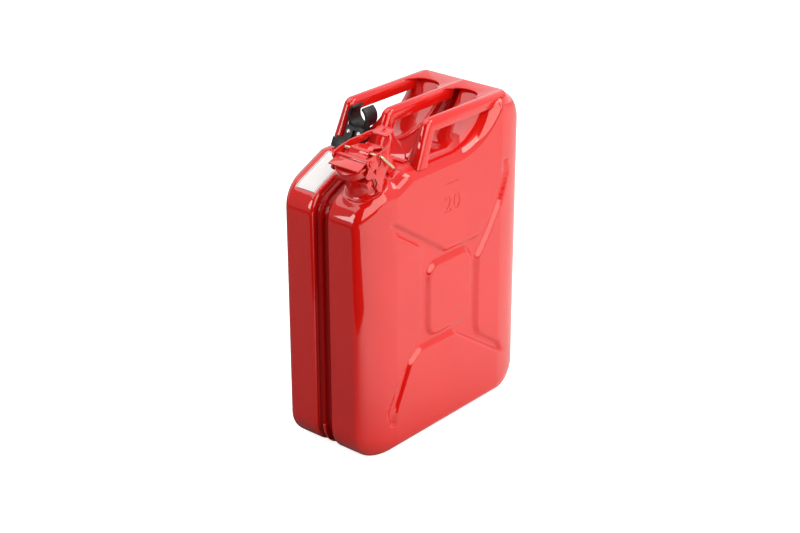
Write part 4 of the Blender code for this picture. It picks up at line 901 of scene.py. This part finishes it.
def panel_grid():
    """The flat panel as rows of (x, z) from its bottom to its top edge, and the station of each point.

    A point inside the edge has station -1.
    """
    edge = panel_outline()
    front_bottom, rear_bottom, rear_top, front_top = [corner_station(i) for i in PANEL_GRID_CORNERS]
    bottom = np.arange(front_bottom, rear_bottom + 1)
    rear = np.arange(rear_bottom, rear_top + 1)
    top = np.arange(rear_top, front_top + 1)[::-1]
    front = (np.arange(front_top, front_bottom + STATIONS + 1) % STATIONS)[::-1]
    u = np.linspace(0, 1, len(bottom))[None, :, None]
    v = np.linspace(0, 1, len(front))[:, None, None]
    low, high = edge[bottom][None], edge[top][None]
    points = (1 - v) * low + v * high + (1 - u) * edge[front][:, None] + u * edge[rear][:, None]
    corners = (1 - u) * (1 - v) * low[:, :1] + u * (1 - v) * low[:, -1:]
    points -= corners + (1 - u) * v * high[:, :1] + u * v * high[:, -1:]
    stations = np.full(points.shape[:2], -1)
    stations[0], stations[-1], stations[:, 0], stations[:, -1] = bottom, top, front, rear
    return points, stations


def cut_number(shell):
    """Presses the number into the right panel, with a thin line above it."""
    place = (NUMBER_X, -TANK_SIDE_Y, NUMBER_Z)
    number = added(bpy.ops.object.text_add, "number", location=place, rotation=(pi / 2, 0, 0))
    number.data.body = NUMBER_TEXT
    number.data.size = NUMBER_HEIGHT
    number.data.align_x = "CENTER"
    number.data.align_y = "CENTER"
    number.data.extrude = NUMBER_DEPTH
    number.data.space_character = NUMBER_SPACING
    bpy.ops.object.convert(target="MESH")
    place = (NUMBER_X, -TANK_SIDE_Y, NUMBER_Z + NUMBER_LINE_RISE)
    line = added(bpy.ops.mesh.primitive_cube_add, "number_line", size=1, location=place)
    line.scale = (NUMBER_LINE_LENGTH, NUMBER_DEPTH * 2, NUMBER_LINE_HEIGHT)
    for cutter in (number, line):
        cut_away(shell, cutter)
    for vert in shell.data.vertices:
        vert.co.y = max(vert.co.y, -TANK_SIDE_Y)


def make_shell(name, node, paint, right):
    """One deep drawn half: a grid for the panel, then rings from its edge round to the inside."""
    points, stations = panel_grid()
    rows, columns = stations.shape
    grid = {"x_subdivisions": columns - 1, "y_subdivisions": rows - 1}
    shell = added(bpy.ops.mesh.primitive_grid_add, name, size=1, **grid)
    set_points(shell, at_side(points.reshape(-1, 2), TANK_SIDE_Y))
    form = edit(shell)
    layer = form.verts.layers.int.new("station")
    for vert, station in zip(form.verts, stations.ravel()):
        vert[layer] = int(station)
    for edge in form.edges:
        edge.select_set(edge.is_boundary)
    bmesh.update_edit_mesh(shell.data)
    for ring in shell_rings():
        bpy.ops.mesh.extrude_edges_move()
        form = bmesh.from_edit_mesh(shell.data)
        layer = form.verts.layers.int["station"]
        for vert in form.verts:
            if vert.select:
                vert.co = ring[vert[layer]]
        bmesh.update_edit_mesh(shell.data)
    bpy.ops.mesh.edge_face_add()
    leave()
    points = with_pattern(mesh_points(shell))
    if right:
        points[:, 1] *= -1
        points = with_pad(points)
    set_points(shell, points)
    face_out(shell)
    if right:
        bore = {"vertices": NECK_BORE_STEPS, "radius": NECK_BORE, "depth": PAD_DROP * 4}
        cutter = added(bpy.ops.mesh.primitive_cylinder_add, "neck_hole", **bore)
        cutter.matrix_world = neck_matrix()
        cut_away(shell, cutter)
        cut_number(shell)
    settle(shell, paint, "tank", replaces=(node,))


def make_sheet(paper):
    """The white sheet on the left half's front slope, which follows the slope's rounding."""
    outline = tank_outline(-SHEET_THICKNESS)
    x, z = outline.T
    path = outline[(x > SHEET_FRONT) & (x < SHEET_REAR) & (z > HUMP_HEIGHT / 2)]
    path = path[np.argsort(path[:, 0])]
    grid = {"x_subdivisions": len(path) - 1, "y_subdivisions": 1}
    sheet = added(bpy.ops.mesh.primitive_grid_add, "blank_sheet", size=1, **grid)
    set_points(sheet, np.vstack([at_side(path, y) for y in (SHEET_INNER, SHEET_OUTER)]))
    only(sheet)
    thick = sheet.modifiers.new("thickness", "SOLIDIFY")
    thick.thickness = SHEET_THICKNESS
    thick.offset = 0
    bpy.ops.object.modifier_apply(modifier=thick.name)
    face_out(sheet)
    settle(sheet, paper, "tank")


def make_weld(paint):
    """The bead along the seam: a rounded section carried round the outline, rippled at each run."""
    middle = tank_ring(SEAM_INSET, 0)
    length = np.concatenate([[0], np.cumsum(np.hypot(*np.diff(tank_outline(SEAM_INSET), axis=0).T))])
    ripple = WELD_RIPPLE * np.abs(np.sin(length / WELD_PITCH * pi))
    torus = {"major_segments": STATIONS, "minor_segments": WELD_STEPS}
    weld = added(bpy.ops.mesh.primitive_torus_add, "weld_bead", **torus)
    points = np.zeros((STATIONS, WELD_STEPS, 3))
    for k in range(WELD_STEPS):
        angle = 2 * pi * k / WELD_STEPS
        inset = SEAM_INSET - WELD_PROUD / 2 - WELD_PROUD / 2 * sin(angle) - SEAM_GAP / 3
        ring = tank_ring(inset, WELD_HALF_WIDTH * cos(angle))
        out = (ring - middle) / (np.linalg.norm(ring - middle, axis=1)[:, None] + TINY)
        points[:, k] = ring - out * ripple[:, None] * (sin(angle) > WELD_RIPPLE_FROM)
    set_points(weld, points)
    face_out(weld)
    settle(weld, paint, "tank", smooth=SMOOTH_WELD, replaces=("seam_weld",))


def make_clip_web(plastic):
    """The block between the spout clip's ring and its foot, hollowed to the ring."""
    place = (CLIP_WEB_X, CLIP_WEB_Y, CLIP_WEB_Z)
    web = added(bpy.ops.mesh.primitive_cube_add, "clip_web", size=1, location=place)
    web.scale = (CLIP_WEB_DEPTH, CLIP_WEB_WIDTH, CLIP_WEB_HEIGHT)
    bpy.ops.object.transform_apply(location=True, rotation=True, scale=True)
    bore = added(
        bpy.ops.mesh.primitive_cylinder_add,
        "ring_bore",
        vertices=CLIP_WEB_BORE_STEPS,
        radius=CLIP_WEB_BORE,
        depth=CLIP_WEB_DEPTH * 3,
        location=(CLIP_WEB_X, CLIP_WEB_Y, CLIP_RING_Z),
        rotation=(0, pi / 2, 0),
    )
    cut_away(web, bore, solver="EXACT")
    break_edges(web, CLIP_WEB_BEVEL)
    settle(web, plastic, "tank")


def refined(node, material, bevel=0.0):
    """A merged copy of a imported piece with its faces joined, its edges broken and its finish on it."""
    source = frame["nodes"][node]
    deselect()
    piece = source.copy()
    piece.data = source.data.copy()
    for key in list(piece.keys()):
        if key.startswith("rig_"):
            del piece[key]
    bpy.context.scene.collection.objects.link(piece)
    piece.parent = None
    piece.name = node + "_finished"
    edit(piece)
    bpy.ops.mesh.select_all(action="SELECT")
    bpy.ops.mesh.remove_doubles(threshold=MERGE_DISTANCE)
    bpy.ops.mesh.dissolve_limited(angle_limit=FLAT_ANGLE)
    leave()
    if bevel:
        break_edges(piece, bevel)
    settle(piece, material, source["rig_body"], SMOOTH_PACKED, replaces=(node,))


def make_world():
    """White to the camera. Otherwise dim, brighter from the right and ahead, dark behind the camera."""
    world = bpy.data.worlds.new("studio")
    bpy.context.scene.world = world
    world.use_nodes = True
    shade = Shade(world.node_tree)
    way = shade.node("ShaderNodeTexCoord").outputs["Generated"]
    right = shade.toward(way, CAMERA_RIGHT).between(*WORLD_RIGHT_SPAN)
    behind = shade.toward(way, CAMERA_BACK).between(*WORLD_BEHIND_SPAN)
    ahead = shade.toward(way, -CAMERA_BACK).between(*WORLD_AHEAD_SPAN)
    level = (WORLD_LEVEL + WORLD_RIGHT_LEVEL * right + WORLD_AHEAD_LEVEL * ahead) * (1 - behind)
    seen = shade.seen()
    ground = world.node_tree.nodes["Background"]
    feed(world.node_tree, ground.inputs["Color"], WHITE)
    feed(world.node_tree, ground.inputs["Strength"], seen + (1 - seen) * level)


def make_floor():
    """White paper round the can, with painted light and shade that only other rays than the camera's
    see: darker on the left and in a strip toward the camera.
    """
    place = (0, 0, -FLOOR_DROP)
    floor = added(bpy.ops.mesh.primitive_plane_add, "floor", size=FLOOR_SIZE, location=place)
    cover = Finish("white_paper", Roughness=0.8, Specular_IOR_Level=0.1)
    across = cover.toward(cover.place, CAMERA_RIGHT)
    right = across.between(*FLOOR_RIGHT_SPAN)
    near = cover.toward(cover.place, CAMERA_BACK).between(*FLOOR_STRIP_SPAN)
    strip = near * (1 - across.between(*FLOOR_STRIP_END_SPAN))
    # Painted light and shade on the floor for other rays: brighter to the camera's right, darker on the
    # left and in a strip toward the camera.
    level = (FLOOR_LEFT_LEVEL + FLOOR_RIGHT_LEVEL * right) * (1 - strip)
    seen = cover.seen()
    tone = seen * FLOOR_TONE + (1 - seen) * level
    cover.set(
        Base_Color=cover.mixed(tone, BLACK, WHITE),
        Emission_Color=cover.mixed(seen, BLACK, WHITE),
        Emission_Strength=FLOOR_GLOW,
    )
    floor.data.materials.append(cover.material)


def make_lamp(name, place, size, power, colour, target):
    """A rectangular softbox at a place, turned to its target."""
    data = bpy.data.lights.new(name, "AREA")
    data.shape = "RECTANGLE"
    data.size, data.size_y = size
    data.energy = power
    data.color = colour
    lamp = bpy.data.objects.new(name, data)
    bpy.context.scene.collection.objects.link(lamp)
    lamp.location = place
    lamp.rotation_euler = (Vector(target) - Vector(place)).to_track_quat("-Z", "Y").to_euler()


def make_camera():
    """The camera that was fitted to the photograph, rolled about its own axis."""
    data = bpy.data.cameras.new("camera")
    camera = bpy.data.objects.new("camera", data)
    bpy.context.scene.collection.objects.link(camera)
    data.sensor_width = SENSOR_WIDTH
    data.lens = FOCAL_PIXELS * data.sensor_width / IMAGE_WIDTH
    data.clip_start = CLIP_START
    data.clip_end = CLIP_END
    up = CAMERA_BACK.cross(CAMERA_RIGHT)
    rolled_right = CAMERA_RIGHT * cos(CAMERA_ROLL) + up * sin(CAMERA_ROLL)
    rolled_up = up * cos(CAMERA_ROLL) - CAMERA_RIGHT * sin(CAMERA_ROLL)
    axes = Matrix((rolled_right, rolled_up, CAMERA_BACK)).transposed()
    camera.rotation_euler = axes.to_euler()
    camera.location = CAMERA_TARGET + axes @ Vector((-CAMERA_ACROSS, -CAMERA_UP, CAMERA_DISTANCE))
    bpy.context.scene.camera = camera


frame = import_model()
bpy.context.scene.view_settings.view_transform = "Standard"

ENAMEL = red_enamel("red_enamel")
TANK_ENAMEL = red_enamel("tank_enamel", channel=True)
WELD = weld_enamel()
PLASTIC = black_plastic()
ZINC = zinc_plate("zinc_plate", ZINC_TONES)
YELLOW_ZINC = zinc_plate("yellow_zinc", YELLOW_ZINC_TONES)
RUBBER = seal_rubber()

make_camera()
make_world()
make_floor()
for lamp in LAMPS:
    make_lamp(*lamp)

make_shell("skin_left", "shell_left", TANK_ENAMEL, right=False)
make_shell("skin_right", "shell_right", TANK_ENAMEL, right=True)
make_weld(WELD)
make_sheet(blank_paper())
for node, bevel in (
    ("handle_frame", BEVEL), ("filler_neck", 0), ("neck_lug_left", 0), ("neck_lug_right", 0),
    ("breather_tube", 0), ("hinge_bracket", BEVEL), ("cap_dish", 0), ("cap_strap", BEVEL),
    ("lever_pivot_pin", PIVOT_PIN_BEVEL), ("lever", BEVEL),
):
    refined(node, ENAMEL, bevel)
refined("cap_gasket", RUBBER, BEVEL)
refined("spout_clip", PLASTIC, BEVEL)
make_clip_web(PLASTIC)
refined("safety_pin", YELLOW_ZINC)
for node in ("hinge_pin", "clip_screw_left", "clip_screw_right", "clip_nut_left", "clip_nut_right"):
    refined(node, ZINC, FASTENER_BEVEL)
